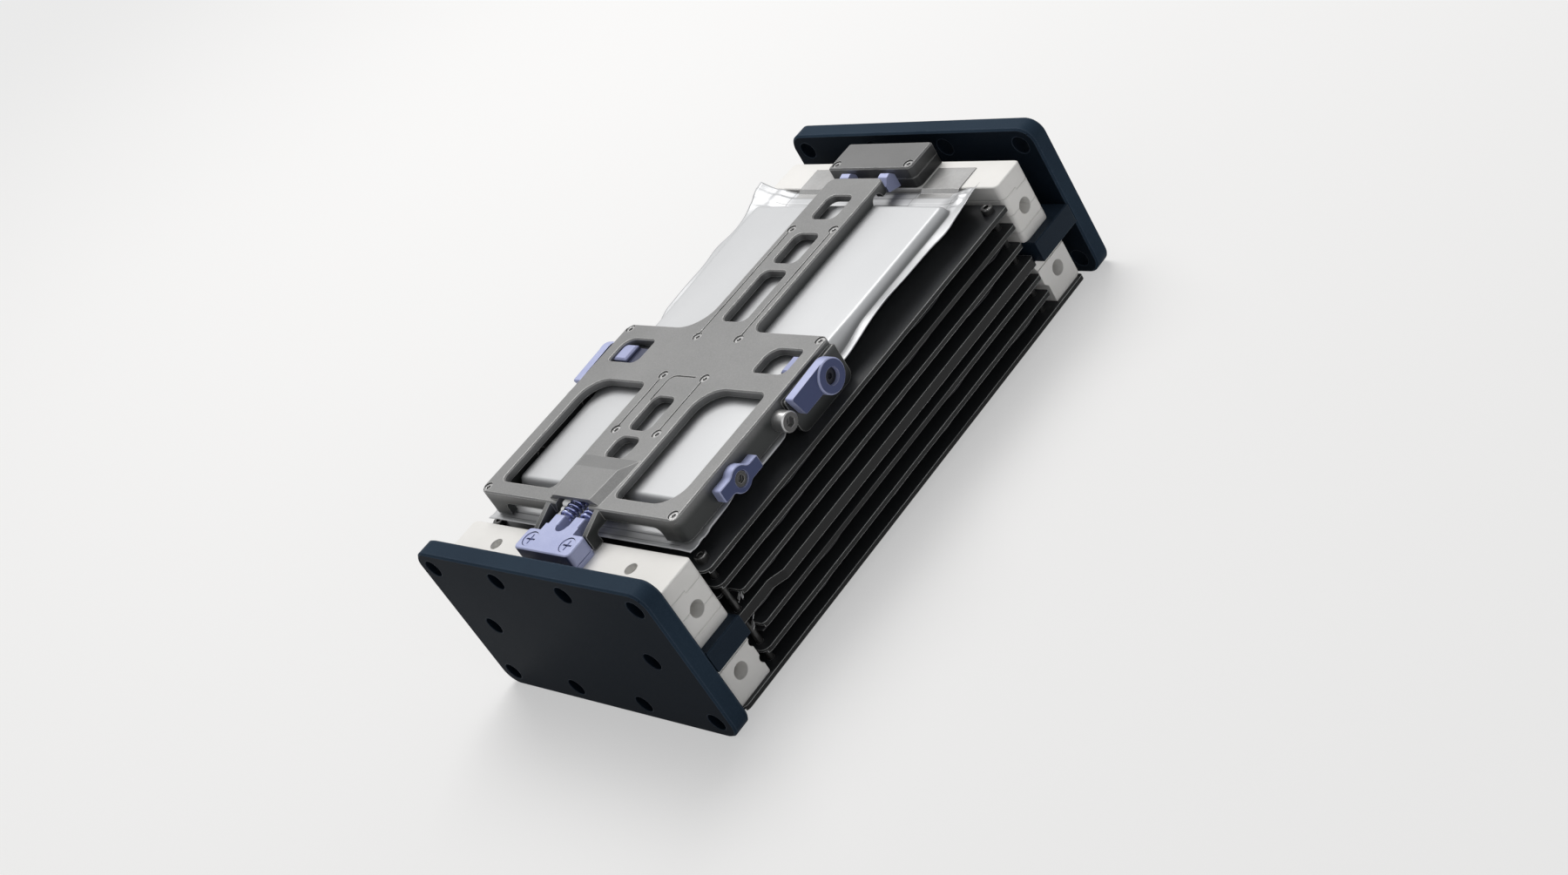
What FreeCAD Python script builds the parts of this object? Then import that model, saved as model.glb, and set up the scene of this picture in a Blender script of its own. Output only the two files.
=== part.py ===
import FreeCAD, Part
import math
import os

# Lithium-ion pouch cell stack in its compression fixture, millimetres.
# X is the stack's width, Y its length from the front end plate to the rear one, Z is up.
# The origin is the middle of the footprint, on the surface that the end plates stand on.

# Cell, from which the stack's width and length are set off
cell_width = 117.0
cell_length = 183.3

# Offsets across, each from the side of the cell unless said otherwise
frame_side_gap = 4.5
seal_reach = 10.0
top_seal_reach = 4.1
tray_reach = 13.5
stack_bolt_reach = 6.7
block_inside_tray = 2.0
plate_outside_tray = 3.0

# End plates, holes measured from the plate's edges
plate_rise = 10.0
plate_thickness = 9.0
plate_corner_radius = 8.0
plate_edge_bevel = 0.9
plate_hole_radius = 4.4
plate_hole_edge = 8.5
outer_hole_edge = 9.0
middle_hole_edge = 23.5
inner_hole_x = 22.0

# Block columns
front_block_depth = 21.0
rear_block_depth = 18.7
rear_plate_gap = 8.0
base_top = 6.5
lower_block_height = 23.0
spacer_height = 10.0
block_4_height = 5.5
block_3_height = 7.8
block_2_height = 9.4
block_1_height = 7.8
seam_step_12 = 0.6
seam_step_23 = 1.3
block_bevel = 0.5
block_corner_radius = 2.6
front_round = 0.8
rear_round = 2.4
cross_hole_radius = 3.6
cross_hole_depth = 14.0

# Lower blocks: ledge line, notches of the front one, nose of the rear one
ledge_drop = 4.1
ledge_groove = 0.5
notch_radius = 2.4
notch_depth = 1.2
nose_reach = 2.6
nose_drop = 2.2
face_reach = 1.8
face_drop = 12.0
face_round = 1.5
notch_levels = (1, 2)

# Cell trays, from the top one down to the base tray
tray_count = 7
tray_drop = 8.5
tray_sheet = 1.2
tray_skirt = 2.2
tray_skirt_wall = 0.9
deep_trays = (4,)
deep_skirt = 4.6
deep_step_length = 28.3
deep_step_inset = 3.6
deep_step_run = 6.5
deep_step_rounding = 3.2
tray_front_radius = 4.0
tray_rear_radius = 1.6
tray_front_gap = 0.5
tray_rear_gap = 1.2
tray_end_setback = [0.0, 0.8, 2.2, 0.4, 1.6, 1.4]
tray_notch_width = 9.0
tray_notch_depth = 6.0
notched_trays = (3, 5)

# Pouch cells
cell_end_gap = 13.0
cell_corner_radius = 4.0
cell_edge_radius = 1.6
seal_thickness = 0.7
seal_end = 4.8
seal_corner_radius = 3.0
top_cell_height = 14.7
top_cell_edge_radius = 3.0
top_cell_front_gap = 19.0
top_cell_rear_gap = 17.0
top_seal_height = 7.0
top_seal_front = 15.8
top_seal_rear_gap = 1.7
tab_terminal_gap = 1.9
tab_side_gap = 9.0
tab_seal_length = 5.0
tab_ramp = 2.0
tab_end_gap = 5.5
tab_thickness = 0.5

# Clamp frame
frame_front = 6.2
spine_end_gap = 7.3
spine_share = 0.4874
frame_plate = 3.6
frame_rise = 20.5
frame_skirt = 12.4
frame_wall = 3.5
frame_cell_gap = 0.3
frame_corner_radius = 4.0
frame_bevel = 0.6
spine_half_width = 16.7
spine_wall_depth = 6.2
left_shoulder_radius = 14.0
right_shoulder_radius = 6.0
front_arch_height = 5.6
front_leg_width = 13.0
hook_notch_radius = 3.6
hook_leg = 5.5

# Windows of the clamp frame, the front ones measured from its front edge
window_spine_land = 2.8
large_window_rail = 8.0
large_window_front = 7.5
large_window_big_radius = 12.0
window_crossbar = 11.4
small_radius = 3.5
tight_radius = 2.0
small_window_rail = 7.2
small_window_width = 18.8
small_window_rear = 9.2
small_window_length = 14.2
small_window_corner = 6.0
spine_window_edge = 9.3
front_window_edge = 10.2
front_window_starts = [27.7, 44.1]
front_window_lengths = [11.9, 19.6]

# Rear spine windows, as shares of the spine's length
rear_window_starts = [0.054, 0.429, 0.722]
rear_window_lengths = [0.323, 0.192, 0.157]

# Bridge and yoke over the springs
bridge_foot_half = 17.6
bridge_crown_half = 13.6
bridge_front_half = 11.8
bridge_flare = 4.0
bridge_rise = 2.8
ramp_foot = 27.4
ramp_length = 8.6
bridge_end_gap = 1.8
tunnel_half_width = 13.8
tunnel_roof_half = 9.6
tunnel_length = 11.0
tunnel_shoulder_drop = 6.0
tunnel_rib = 1.5
tunnel_rib_depth = 10.6
tunnel_roof = 1.6
yoke_outer = 17.0
yoke_wall = 2.6
yoke_gap = 0.3
yoke_foot_length = 5.4
yoke_arch = 5.0
yoke_end_drop = 1.4
yoke_rounding = 1.2

# Frame screws and grooves
screw_head_radius = 2.1
screw_clearance = 0.25
screw_recess = 2.4
screw_sink = 0.5
screw_socket_radius = 1.15
screw_socket_depth = 1.0
corner_screw_inset = 3.0
spine_screw_edge = 3.6
rear_groove_start = 5.2
rear_groove_share = 0.651
front_groove_start = 43.0
front_groove_end = 76.1
groove_width = 0.8
groove_depth = 0.5
hook_groove_edge = 9.1
hook_groove_length = 15.0

# Side lugs, levers and their pins
lug_stop_gap = 0.5
lug_length = 35.0
lug_thickness = 2.0
lug_top_drop = 2.6
lug_corner_radius = 4.0
lever_gap = 0.3
lever_thickness = 5.2
lever_eye_radius = 7.6
lever_eye_drop = 8.6
lever_eye_from_shoulder = 14.0
lever_reach = 21.8
lever_arm_height = 9.6
lever_arm_top = 6.9
lever_bevel = 1.0
lever_end_chamfer = 2.4
lever_step = 0.8
pin_radius = 2.5
pin_clearance = 0.05
pin_head_radius = 3.4
pin_head_height = 1.3
pin_socket_floor = 0.3
pin_head_float = 0.2
eye_bore_radius = 3.7
eye_bore_depth = 3.2

# Stop screws and wing clips
stop_from_eye = 27.4
stop_head_radius = 4.5
stop_head_height = 6.4
stop_bevel = 0.5
stop_socket_radius = 2.3
side_screw_drop = 7.9
side_screw_shank = 2.4
clip_share = 0.507
clip_thickness = 4.6
clip_hub_radius = 5.8
clip_wing_length = 11.6
clip_wing_height = 6.2
clip_wing_offset = 1.0
clip_waist_radius = 3.0
clip_bevel = 0.4
clip_screw_head_radius = 3.2
clip_screw_recess = 2.6
clip_screw_socket = 1.2
clip_drop = 8.6

# Clamp pads in the small windows
pad_height = 4.8
pad_length = 9.6
left_pad_width = 8.0
pad_step_width = 5.4
pad_step_drop = 2.4
right_pad_width = 4.4
pad_window_gap = 0.4
pad_corner = 3.0
pad_bevel = 0.8

# Spring block, springs
spring_block_half_width = 17.8
spring_block_front_gap = 4.0
spring_block_depth = 11.4
spring_block_height = 9.0
spring_block_bevel = 0.5
spring_block_corner = 2.2
spring_block_groove = 2.6
prong_x = 6.4
prong_width = 6.2
prong_reach = 8.6
prong_rounding = 0.8
neck_half_width = 10.4
neck_reach = 3.4
neck_root = 1.0
neck_thickness = 5.4
guide_radius = 1.5
spring_drop = 3.3
spring_radius = 2.65
spring_wire = 0.75
spring_turns = 6
guide_end_gap = 2.0
block_screw_x = 11.9
block_screw_radius = 3.7
block_screw_slot = 0.8
block_screw_sink = 0.35
block_screw_cross = 1.0
block_screw_head = 3.0
block_screw_shank = 1.5
block_screw_bite = 6.0

# Terminal block and hook clips
terminal_half_width = 25.6
terminal_setback = 0.3
terminal_depth = 18.4
terminal_base_height = 5.2
terminal_cover_height = 5.8
terminal_seam = 0.5
terminal_bevel = 0.7
terminal_corner = 1.5
terminal_corner_cut = 1.8
terminal_screw_inset = 3.4
terminal_screw_shank = 1.0
terminal_screw_bite = 5.0
ring_radius = 1.7
ring_width = 0.45
ring_depth = 0.6
ring_x = 12.6
ring_drop = 2.6
clip_hook_x = 12.0
hook_width = 5.4
hook_rise = 9.0
hook_nub = 2.4
hook_floor = 1.2
hook_dip = 0.5

# Long bolts
stack_bolt_from_end = 6.2
stack_bolt_radius = 1.5
stack_bolt_head_radius = 2.75
stack_bolt_head = 3.0
stack_bolt_bevel = 0.3
stack_bolt_socket = 1.4
column_bolt_inset = 26.2
column_bolt_radius = 2.0
column_bolt_head_radius = 2.9
column_bolt_head = 4.0
plate_screw_inset = 34.0
plate_screw_radius = 2.5
plate_screw_head_radius = 4.25
plate_screw_head = 5.0
plate_screw_bite = 5.0

# Heights worked out from the sizes above
lower_top = base_top + lower_block_height
spacer_top = lower_top + spacer_height
block_4_top = spacer_top + block_4_height
block_3_top = block_4_top + block_3_height
block_2_top = block_3_top + block_2_height
block_1_top = block_2_top + block_1_height
plate_height = block_1_top + plate_rise
tray_top = block_1_top - tray_drop
tray_pitch = (tray_top - base_top) / (tray_count - 1)
cell_top = tray_top + top_cell_height
frame_top = tray_top + frame_rise
frame_skirt_bottom = frame_top - frame_skirt
plate_underside = frame_top - frame_plate
spring_block_top = block_1_top + spring_block_height

# Half widths
cell_half_width = cell_width / 2.0
frame_half_width = cell_half_width + frame_side_gap
seal_half_width = cell_half_width + seal_reach
top_seal_half_width = cell_half_width + top_seal_reach
tray_half_width = cell_half_width + tray_reach
block_half_width = tray_half_width - block_inside_tray
plate_half_width = tray_half_width + plate_outside_tray
stack_bolt_x = cell_half_width + stack_bolt_reach
column_bolt_x = block_half_width - column_bolt_inset
plate_screw_x = block_half_width - plate_screw_inset
outer_hole_x = plate_half_width - outer_hole_edge
middle_hole_x = plate_half_width - middle_hole_edge
window_inner = spine_half_width + window_spine_land
spine_window_half = spine_half_width - spine_window_edge
front_window_half = spine_half_width - front_window_edge
spine_screw_x = spine_half_width - spine_screw_edge
hook_groove_x = spine_half_width - hook_groove_edge
large_window_outer = frame_half_width - large_window_rail
small_window_outer = frame_half_width - small_window_rail
small_window_inner = small_window_outer - small_window_width
tab_inner_x = terminal_half_width + tab_terminal_gap
tab_outer_x = cell_half_width - tab_side_gap

# Places along the length
cell_bay_length = top_cell_front_gap + cell_length + top_cell_rear_gap
total_length = (
    2.0 * plate_thickness
    + front_block_depth
    + cell_bay_length
    + rear_block_depth
    + rear_plate_gap
)
front_outer = -total_length / 2.0
front_inner = front_outer + plate_thickness
bay_front = front_inner + front_block_depth
bay_rear = bay_front + cell_bay_length
rear_block_end = bay_rear + rear_block_depth
rear_inner = rear_block_end + rear_plate_gap
frame_front_y = bay_front + frame_front
spine_end_y = bay_rear - spine_end_gap
frame_length = spine_end_y - frame_front_y
spine_length = spine_share * frame_length
shoulder_y = spine_end_y - spine_length
small_window_y1 = shoulder_y - small_window_rear
small_window_y0 = small_window_y1 - small_window_length

os.makedirs("parts", exist_ok=True)


def vec(x, y, z):
    return FreeCAD.Vector(x, y, z)


def save(name, shape):
    shape.exportStep("parts/" + name + ".step")
    print(name, round(shape.Volume, 1), len(shape.Faces))


def slab(x0, x1, y0, y1, z0, z1):
    return Part.makeBox(x1 - x0, y1 - y0, z1 - z0, vec(x0, y0, z0))


def rod_x(radius, x0, x1, y, z):
    return Part.makeCylinder(radius, x1 - x0, vec(x0, y, z), vec(1, 0, 0))


def rod_y(radius, y0, y1, x, z):
    return Part.makeCylinder(radius, y1 - y0, vec(x, y0, z), vec(0, 1, 0))


def rod_z(radius, z0, z1, x, y):
    return Part.makeCylinder(radius, z1 - z0, vec(x, y, z0), vec(0, 0, 1))


def rounded_loop(corners):
    """Closed wire through (point, radius) corners, each corner a tangent arc."""
    edges = []
    ends = []
    count = len(corners)
    for i in range(count):
        point, radius = corners[i]
        before = (corners[i - 1][0] - point).normalize()
        after = (corners[(i + 1) % count][0] - point).normalize()
        if radius <= 0.0:
            ends.append((point, point, None))
            continue
        half = before.getAngle(after) / 2.0
        reach = radius / math.tan(half)
        bisector = (before + after).normalize()
        middle = point + bisector * (radius / math.sin(half) - radius)
        ends.append((point + before * reach, point + after * reach, middle))
    for i in range(count):
        start, finish, middle = ends[i]
        if middle is not None:
            edges.append(Part.Arc(start, middle, finish).toShape())
        following = ends[(i + 1) % count][0]
        if (following - finish).Length > 1e-6:
            edges.append(Part.LineSegment(finish, following).toShape())
    return Part.Wire(edges)


def prism_z(corners, z0, z1):
    """Upright prism over (x, y, radius) corners."""
    loop = rounded_loop([(vec(x, y, z0), r) for x, y, r in corners])
    return Part.Face(loop).extrude(vec(0, 0, z1 - z0))


def prism_x(corners, x0, x1):
    """Prism along X over (y, z, radius) corners."""
    loop = rounded_loop([(vec(x0, y, z), r) for y, z, r in corners])
    return Part.Face(loop).extrude(vec(x1 - x0, 0, 0))


def prism_y(corners, y0, y1):
    """Prism along Y over (x, z, radius) corners."""
    loop = rounded_loop([(vec(x, y0, z), r) for x, z, r in corners])
    return Part.Face(loop).extrude(vec(0, y1 - y0, 0))


def frame_corners(x0, x1, y0, y1, r):
    return [(x0, y0, r), (x1, y0, r), (x1, y1, r), (x0, y1, r)]


def edges_at(shape, axis, value):
    """Edges that lie wholly in the plane where the axis has this value."""
    found = []
    for edge in shape.Edges:
        points = edge.discretize(3)
        if all(abs(getattr(p, axis) - value) < 1e-4 for p in points):
            found.append(edge)
    return found


def hexagon_z(x, y, radius, z0, z1):
    points = []
    for angle in range(0, 360, 60):
        a = math.radians(angle)
        points.append((x + radius * math.cos(a), y + radius * math.sin(a), 0.0))
    return prism_z(points, z0, z1)


def hexagon_x(y, z, radius, x0, x1):
    points = []
    for angle in range(0, 360, 60):
        a = math.radians(angle)
        points.append((y + radius * math.cos(a), z + radius * math.sin(a), 0.0))
    return prism_x(points, x0, x1)


def mirror_x(shape):
    return shape.mirror(vec(0, 0, 0), vec(1, 0, 0))


def one(solids):
    """Fuse a list of solids that touch into one clean solid."""
    body = solids[0].multiFuse(solids[1:]) if len(solids) > 1 else solids[0]
    return body.removeSplitter()


# End plates


def end_plate(y0):
    y1 = y0 + plate_thickness
    half = plate_half_width
    plate = prism_y(frame_corners(-half, half, 0.0, plate_height, plate_corner_radius), y0, y1)
    rims = edges_at(plate, "y", y0) + edges_at(plate, "y", y1)
    plate = plate.makeChamfer(plate_edge_bevel, rims)
    holes = []
    for z in (plate_hole_edge, plate_height - plate_hole_edge):
        for x in (outer_hole_x, inner_hole_x):
            holes.append(rod_y(plate_hole_radius, y0, y1, x, z))
            holes.append(rod_y(plate_hole_radius, y0, y1, -x, z))
    for x in (middle_hole_x, -middle_hole_x):
        holes.append(rod_y(plate_hole_radius, y0, y1, x, plate_height / 2.0))
    return plate.cut(holes)


def plate_screw_holes(inner_y, inward):
    """Blind holes in an end plate for the screws that hold the spacer bar."""
    z = (lower_top + spacer_top) / 2.0
    far = inner_y - inward * plate_screw_bite
    low, high = min(inner_y, far), max(inner_y, far)
    return [rod_y(plate_screw_radius, low, high, x, z) for x in (plate_screw_x, -plate_screw_x)]


save("end_plate_front", end_plate(front_outer).cut(plate_screw_holes(front_inner, 1.0)))
save("end_plate_rear", end_plate(rear_inner).cut(plate_screw_holes(rear_inner, -1.0)))


# Block columns


def column_holes(y, radius, z0, z1):
    return [rod_z(radius, z0, z1, x, y) for x in (column_bolt_x, -column_bolt_x)]


def stepped_block(y0, y1, z0, z1, step_low, step_high, lower_round):
    """Block whose top and bottom step down half way along Y, as lapped parting faces."""
    mid = (y0 + y1) / 2.0
    half = block_half_width
    front = slab(-half, half, y0, mid, z0 + step_low, z1 + step_high)
    back = slab(-half, half, mid, y1, z0 - step_low, z1 - step_high)
    low, high = z0 - step_low, z1 + step_high
    plan = prism_z(frame_corners(-half, half, y0, y1, block_corner_radius), low, high)
    side = [(y0, low, block_bevel), (y1, low, lower_round), (y1, high, 0.0), (y0, high, 0.0)]
    body = one([front, back]).common(plan).common(prism_x(side, -half, half))
    rims = []
    for level in {z1 + step_high, z1 - step_high}:
        step_middle = vec(0.0, mid, level)
        for edge in edges_at(body, "z", level):
            if edge.CenterOfMass.sub(step_middle).Length > block_bevel:
                rims.append(edge)
    return body.makeChamfer(block_bevel, rims)


def lower_block(y0, y1, tray_side):
    """Lower ivory block: ledge line on its sides, notches or a nose towards the trays."""
    z0, z1 = base_top, lower_top
    half = block_half_width
    mid = (y0 + y1) / 2.0
    cuts = []
    if tray_side > 0:
        outline = [(y0, z0, front_round), (y1, z0, front_round), (y1, z1, block_bevel), (y0, z1, block_bevel)]
        centre_y = y1 + notch_radius - notch_depth
        for level in notch_levels:
            z = base_top + level * tray_pitch - tray_skirt
            cuts.append(rod_x(notch_radius, -half, half, centre_y, z))
    else:
        nose_y, face_y = y0 - nose_reach, y0 - face_reach
        outline = [
            (y0, z0, block_bevel),
            (y1, z0, rear_round),
            (y1, z1, block_bevel),
            (nose_y, z1, 0.0),
            (nose_y, z1 - nose_drop, nose_reach - face_reach),
            (face_y, z1 - 2.0 * nose_drop, face_round),
            (face_y, z1 - face_drop, face_round),
            (y0, z1 - face_drop - face_reach, face_round),
        ]
    body = prism_x(outline, -half, half)
    z = z1 - ledge_drop
    for side in (1.0, -1.0):
        x_outer = side * half
        x_inner = x_outer - side * ledge_groove
        low, high = min(x_outer, x_inner), max(x_outer, x_inner)
        cuts.append(slab(low, high, y0 - nose_reach, y1, z - ledge_groove, z))
        x_deep = x_outer - side * cross_hole_depth
        low, high = min(x_outer, x_deep), max(x_outer, x_deep)
        cuts.append(rod_x(cross_hole_radius, low, high, mid, (z0 + z1) / 2.0))
    return body.cut(cuts)


def block_column(end, y0, y1, tray_side, plate_y, cover_screw_holes):
    """The blocks, the spacer bar and their bolts at one end of the stack."""
    mid = (y0 + y1) / 2.0
    seams = [
        (block_2_top, block_1_top, seam_step_12, 0.0),
        (block_3_top, block_2_top, seam_step_23, seam_step_12),
        (block_4_top, block_3_top, 0.0, seam_step_23),
        (spacer_top, block_4_top, 0.0, 0.0),
    ]
    head_bottom = block_2_top - seam_step_12 - column_bolt_head
    hole_z = block_3_top
    lower_round = block_bevel if tray_side > 0 else rear_round
    for number, (z0, z1, step_low, step_high) in enumerate(seams, start=1):
        body = stepped_block(y0, y1, z0, z1, step_low, step_high, lower_round)
        cuts = []
        low = z0 - seam_step_23
        high = z1 + seam_step_23
        if number == 1:
            cuts += column_holes(mid, column_bolt_head_radius, low, high)
        elif number == 2:
            cuts += column_holes(mid, column_bolt_radius, low, high)
            cuts += column_holes(mid, column_bolt_head_radius, head_bottom, high)
        else:
            cuts += column_holes(mid, column_bolt_radius, low, high)
        if number in (2, 3):
            for side in (1.0, -1.0):
                x0 = side * block_half_width
                x1 = x0 - side * cross_hole_depth
                cuts.append(rod_x(cross_hole_radius, min(x0, x1), max(x0, x1), mid, hole_z))
        if number == 1:
            cuts += cover_screw_holes
        save(end + "_block_" + str(number), body.cut(cuts))

    low_y, high_y = min(y0, plate_y), max(y1, plate_y)
    spacer = slab(-plate_half_width, plate_half_width, low_y, high_y, lower_top, spacer_top)
    spacer = spacer.makeChamfer(block_bevel, edges_at(spacer, "z", spacer_top))
    cuts = column_holes(mid, column_bolt_radius, lower_top, spacer_top)
    z = (lower_top + spacer_top) / 2.0
    face_y = y1 if tray_side > 0 else y0
    head_y = face_y - tray_side * plate_screw_head
    for x in (plate_screw_x, -plate_screw_x):
        cuts.append(rod_y(plate_screw_radius, low_y, high_y, x, z))
        cuts.append(rod_y(plate_screw_head_radius, min(face_y, head_y), max(face_y, head_y), x, z))
    save(end + "_spacer", spacer.cut(cuts))

    lower = lower_block(y0, y1, tray_side)
    lower = lower.cut(column_holes(mid, column_bolt_radius, base_top, lower_top))
    save(end + "_lower_block", lower)

    column = []
    for x in (column_bolt_x, -column_bolt_x):
        shank = rod_z(column_bolt_radius, base_top - tray_sheet, head_bottom, x, mid)
        head = rod_z(column_bolt_head_radius, head_bottom, head_bottom + column_bolt_head, x, mid)
        column.append(one([shank, head]))
    screws = []
    tip_y = plate_y - tray_side * plate_screw_bite
    for x in (plate_screw_x, -plate_screw_x):
        shank = rod_y(plate_screw_radius, min(tip_y, head_y), max(tip_y, head_y), x, z)
        head = rod_y(plate_screw_head_radius, min(face_y, head_y), max(face_y, head_y), x, z)
        screws.append(one([shank, head]))
    return column, screws


spring_block_y0 = front_inner + spring_block_front_gap
spring_block_y1 = spring_block_y0 + spring_block_depth
terminal_y0 = bay_rear + terminal_setback
terminal_y1 = terminal_y0 + terminal_depth


def block_screw_places():
    y = (spring_block_y0 + spring_block_y1) / 2.0
    return [(block_screw_x, y), (-block_screw_x, y)]


def terminal_screw_places():
    x = terminal_half_width - terminal_screw_inset
    y = terminal_y0 + terminal_screw_inset
    return [(x, y), (-x, y)]


def blind_holes(radius, depth, places):
    return [rod_z(radius, block_1_top - depth, block_1_top, x, y) for x, y in places]


spring_holes = blind_holes(block_screw_shank, block_screw_bite, block_screw_places())
terminal_bites = blind_holes(terminal_screw_shank, terminal_screw_bite, terminal_screw_places())
front_column, front_screws = block_column(
    "front", front_inner, bay_front, 1.0, front_inner, spring_holes
)
rear_column, rear_screws = block_column(
    "rear", bay_rear, rear_block_end, -1.0, rear_inner, terminal_bites
)
save("column_bolts", Part.makeCompound(front_column + rear_column))
save("plate_screws", Part.makeCompound(front_screws + rear_screws))


# Cell trays


def tray_outline(half, y0, y1, notch):
    """Plan of a tray: rounded corners, and a narrower tongue where the end is notched."""
    front, rear = tray_front_radius, tray_rear_radius
    if notch <= 0.0:
        return [(-half, y0, front), (half, y0, front), (half, y1, rear), (-half, y1, rear)]
    tongue = half - tray_notch_width
    r = notch / 2.5
    return [
        (-tongue, y0, r),
        (tongue, y0, r),
        (tongue, y0 + notch, r),
        (half, y0 + notch, r),
        (half, y1, rear),
        (-half, y1, rear),
        (-half, y0 + notch, r),
        (-tongue, y0 + notch, r),
    ]


def stepped_outline(half, y0, y1):
    """Plan of the deep tray, which steps in near its front end."""
    narrow = half - deep_step_inset
    step_y = y0 + deep_step_length
    begin = step_y - deep_step_run
    r = deep_step_rounding
    front = tray_rear_radius
    return [
        (-narrow, y0, front),
        (narrow, y0, front),
        (narrow, begin, r),
        (half, step_y, r),
        (half, y1, tray_rear_radius),
        (-half, y1, tray_rear_radius),
        (-half, step_y, r),
        (-narrow, begin, r),
    ]


def tray(number):
    top = tray_top - (number - 1) * tray_pitch
    setback = tray_end_setback[(number - 1) % len(tray_end_setback)]
    y0 = bay_front + tray_front_gap + setback
    y1 = bay_rear - tray_rear_gap - setback
    notch = tray_notch_depth if number in notched_trays else 0.0
    if number == tray_count:
        y0 = front_inner + tray_front_gap
        y1 = rear_block_end
    half = tray_half_width
    skirt = tray_skirt
    outline = tray_outline(half, y0, y1, notch)
    if number in deep_trays:
        skirt = deep_skirt
        outline = stepped_outline(half, y0, y1)
    body = prism_z(outline, top - skirt, top)
    inner = half - tray_skirt_wall
    hollow = [slab(-inner, inner, y0, y1, top - skirt, top - tray_sheet)]
    if number in deep_trays:
        step_y = y0 + deep_step_length + tray_skirt_wall
        narrow = inner - deep_step_inset
        hollow = [
            slab(-narrow, narrow, y0, y1, top - skirt, top - tray_sheet),
            slab(-inner, inner, step_y, y1, top - skirt, top - tray_sheet),
        ]
    body = body.cut(hollow)
    holes = [rod_z(stack_bolt_radius, top - skirt, top, x, y) for x, y in stack_bolt_places()]
    if number == tray_count:
        for mid in ((front_inner + bay_front) / 2.0, (bay_rear + rear_block_end) / 2.0):
            holes += column_holes(mid, column_bolt_radius, top - skirt, top)
    return body.cut(holes)


def stack_bolt_places():
    places = []
    for y in (bay_front + stack_bolt_from_end, bay_rear - stack_bolt_from_end):
        places.append((stack_bolt_x, y))
        places.append((-stack_bolt_x, y))
    return places


for number in range(1, tray_count + 1):
    name = "base_tray" if number == tray_count else "cell_tray_" + str(number)
    save(name, tray(number))

stack_bolts = []
for x, y in stack_bolt_places():
    shank = rod_z(stack_bolt_radius, base_top - tray_sheet, tray_top, x, y)
    head = rod_z(stack_bolt_head_radius, tray_top, tray_top + stack_bolt_head, x, y)
    head_top = tray_top + stack_bolt_head
    head = head.makeChamfer(stack_bolt_bevel, edges_at(head, "z", head_top))
    socket = hexagon_z(x, y, stack_bolt_socket, tray_top + stack_bolt_head / 2.0, head_top)
    stack_bolts.append(one([shank, head]).cut(socket))
save("stack_bolts", Part.makeCompound(stack_bolts))


# Pouch cells


def pouch(y0, y1, z0, z1, seal_z, half_seal, seal_y0, seal_y1, edge_radius):
    """Cell body with rounded edges, and the sealed flange that runs round it."""
    body = prism_z(
        frame_corners(-cell_half_width, cell_half_width, y0, y1, cell_corner_radius),
        z0,
        z1,
    )
    body = body.makeFillet(edge_radius, edges_at(body, "z", z1))
    seal = prism_z(
        frame_corners(-half_seal, half_seal, seal_y0, seal_y1, seal_corner_radius),
        seal_z,
        seal_z + seal_thickness,
    )
    return one([body, seal])


inner_y0 = bay_front + cell_end_gap
inner_y1 = bay_rear - cell_end_gap
for number in range(1, tray_count):
    ceiling = tray_top - (number - 1) * tray_pitch - tray_sheet
    floor = tray_top - number * tray_pitch
    seal_z = (floor + ceiling - seal_thickness) / 2.0
    cell = pouch(
        inner_y0,
        inner_y1,
        floor,
        ceiling,
        seal_z,
        seal_half_width,
        inner_y0 - seal_end,
        inner_y1 + seal_end,
        cell_edge_radius,
    )
    save("inner_cell_" + str(number), cell)

top_y0 = bay_front + top_cell_front_gap
top_y1 = bay_rear - top_cell_rear_gap
top_seal_z = tray_top + top_seal_height
tab_z = top_seal_z + (seal_thickness - tab_thickness) / 2.0


def tab(side):
    """Cell tab: flat inside the seal, a short ramp, then flat on the rear block."""
    start = bay_rear - top_seal_rear_gap - tab_seal_length
    ramp_end = bay_rear - top_seal_rear_gap / 2.0
    ramp_begin = ramp_end - tab_ramp
    end = rear_block_end - tab_end_gap
    low = [(start, tab_z), (ramp_begin, tab_z), (ramp_end, block_1_top), (end, block_1_top)]
    outline = [(y, z, 0.0) for y, z in low]
    outline += [(y, z + tab_thickness, 0.0) for y, z in reversed(low)]
    body = prism_x(outline, tab_inner_x, tab_outer_x)
    return body if side > 0 else mirror_x(body)


tabs = [tab(1.0), tab(-1.0)]
top_cell = pouch(
    top_y0,
    top_y1,
    tray_top,
    cell_top,
    top_seal_z,
    top_seal_half_width,
    top_y0 - top_seal_front,
    bay_rear - top_seal_rear_gap,
    top_cell_edge_radius,
)
save("top_cell", top_cell.cut(tabs))
save("tab_right", tabs[0])
save("tab_left", tabs[1])


# Clamp frame


def frame_outline(inset):
    """Plan of the frame: wide body in front, narrow spine behind, drawn in by the inset."""
    half = frame_half_width - inset
    spine = spine_half_width - inset
    front = frame_front_y + inset
    shoulder = shoulder_y - inset
    end = spine_end_y - inset
    corner = max(frame_corner_radius - inset, 0.5)
    return [
        (-half, front, corner),
        (half, front, corner),
        (half, shoulder, corner),
        (spine, shoulder, right_shoulder_radius + inset),
        (spine, end, corner),
        (-spine, end, corner),
        (-spine, shoulder, left_shoulder_radius + inset),
        (-half, shoulder, corner),
    ]


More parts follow.
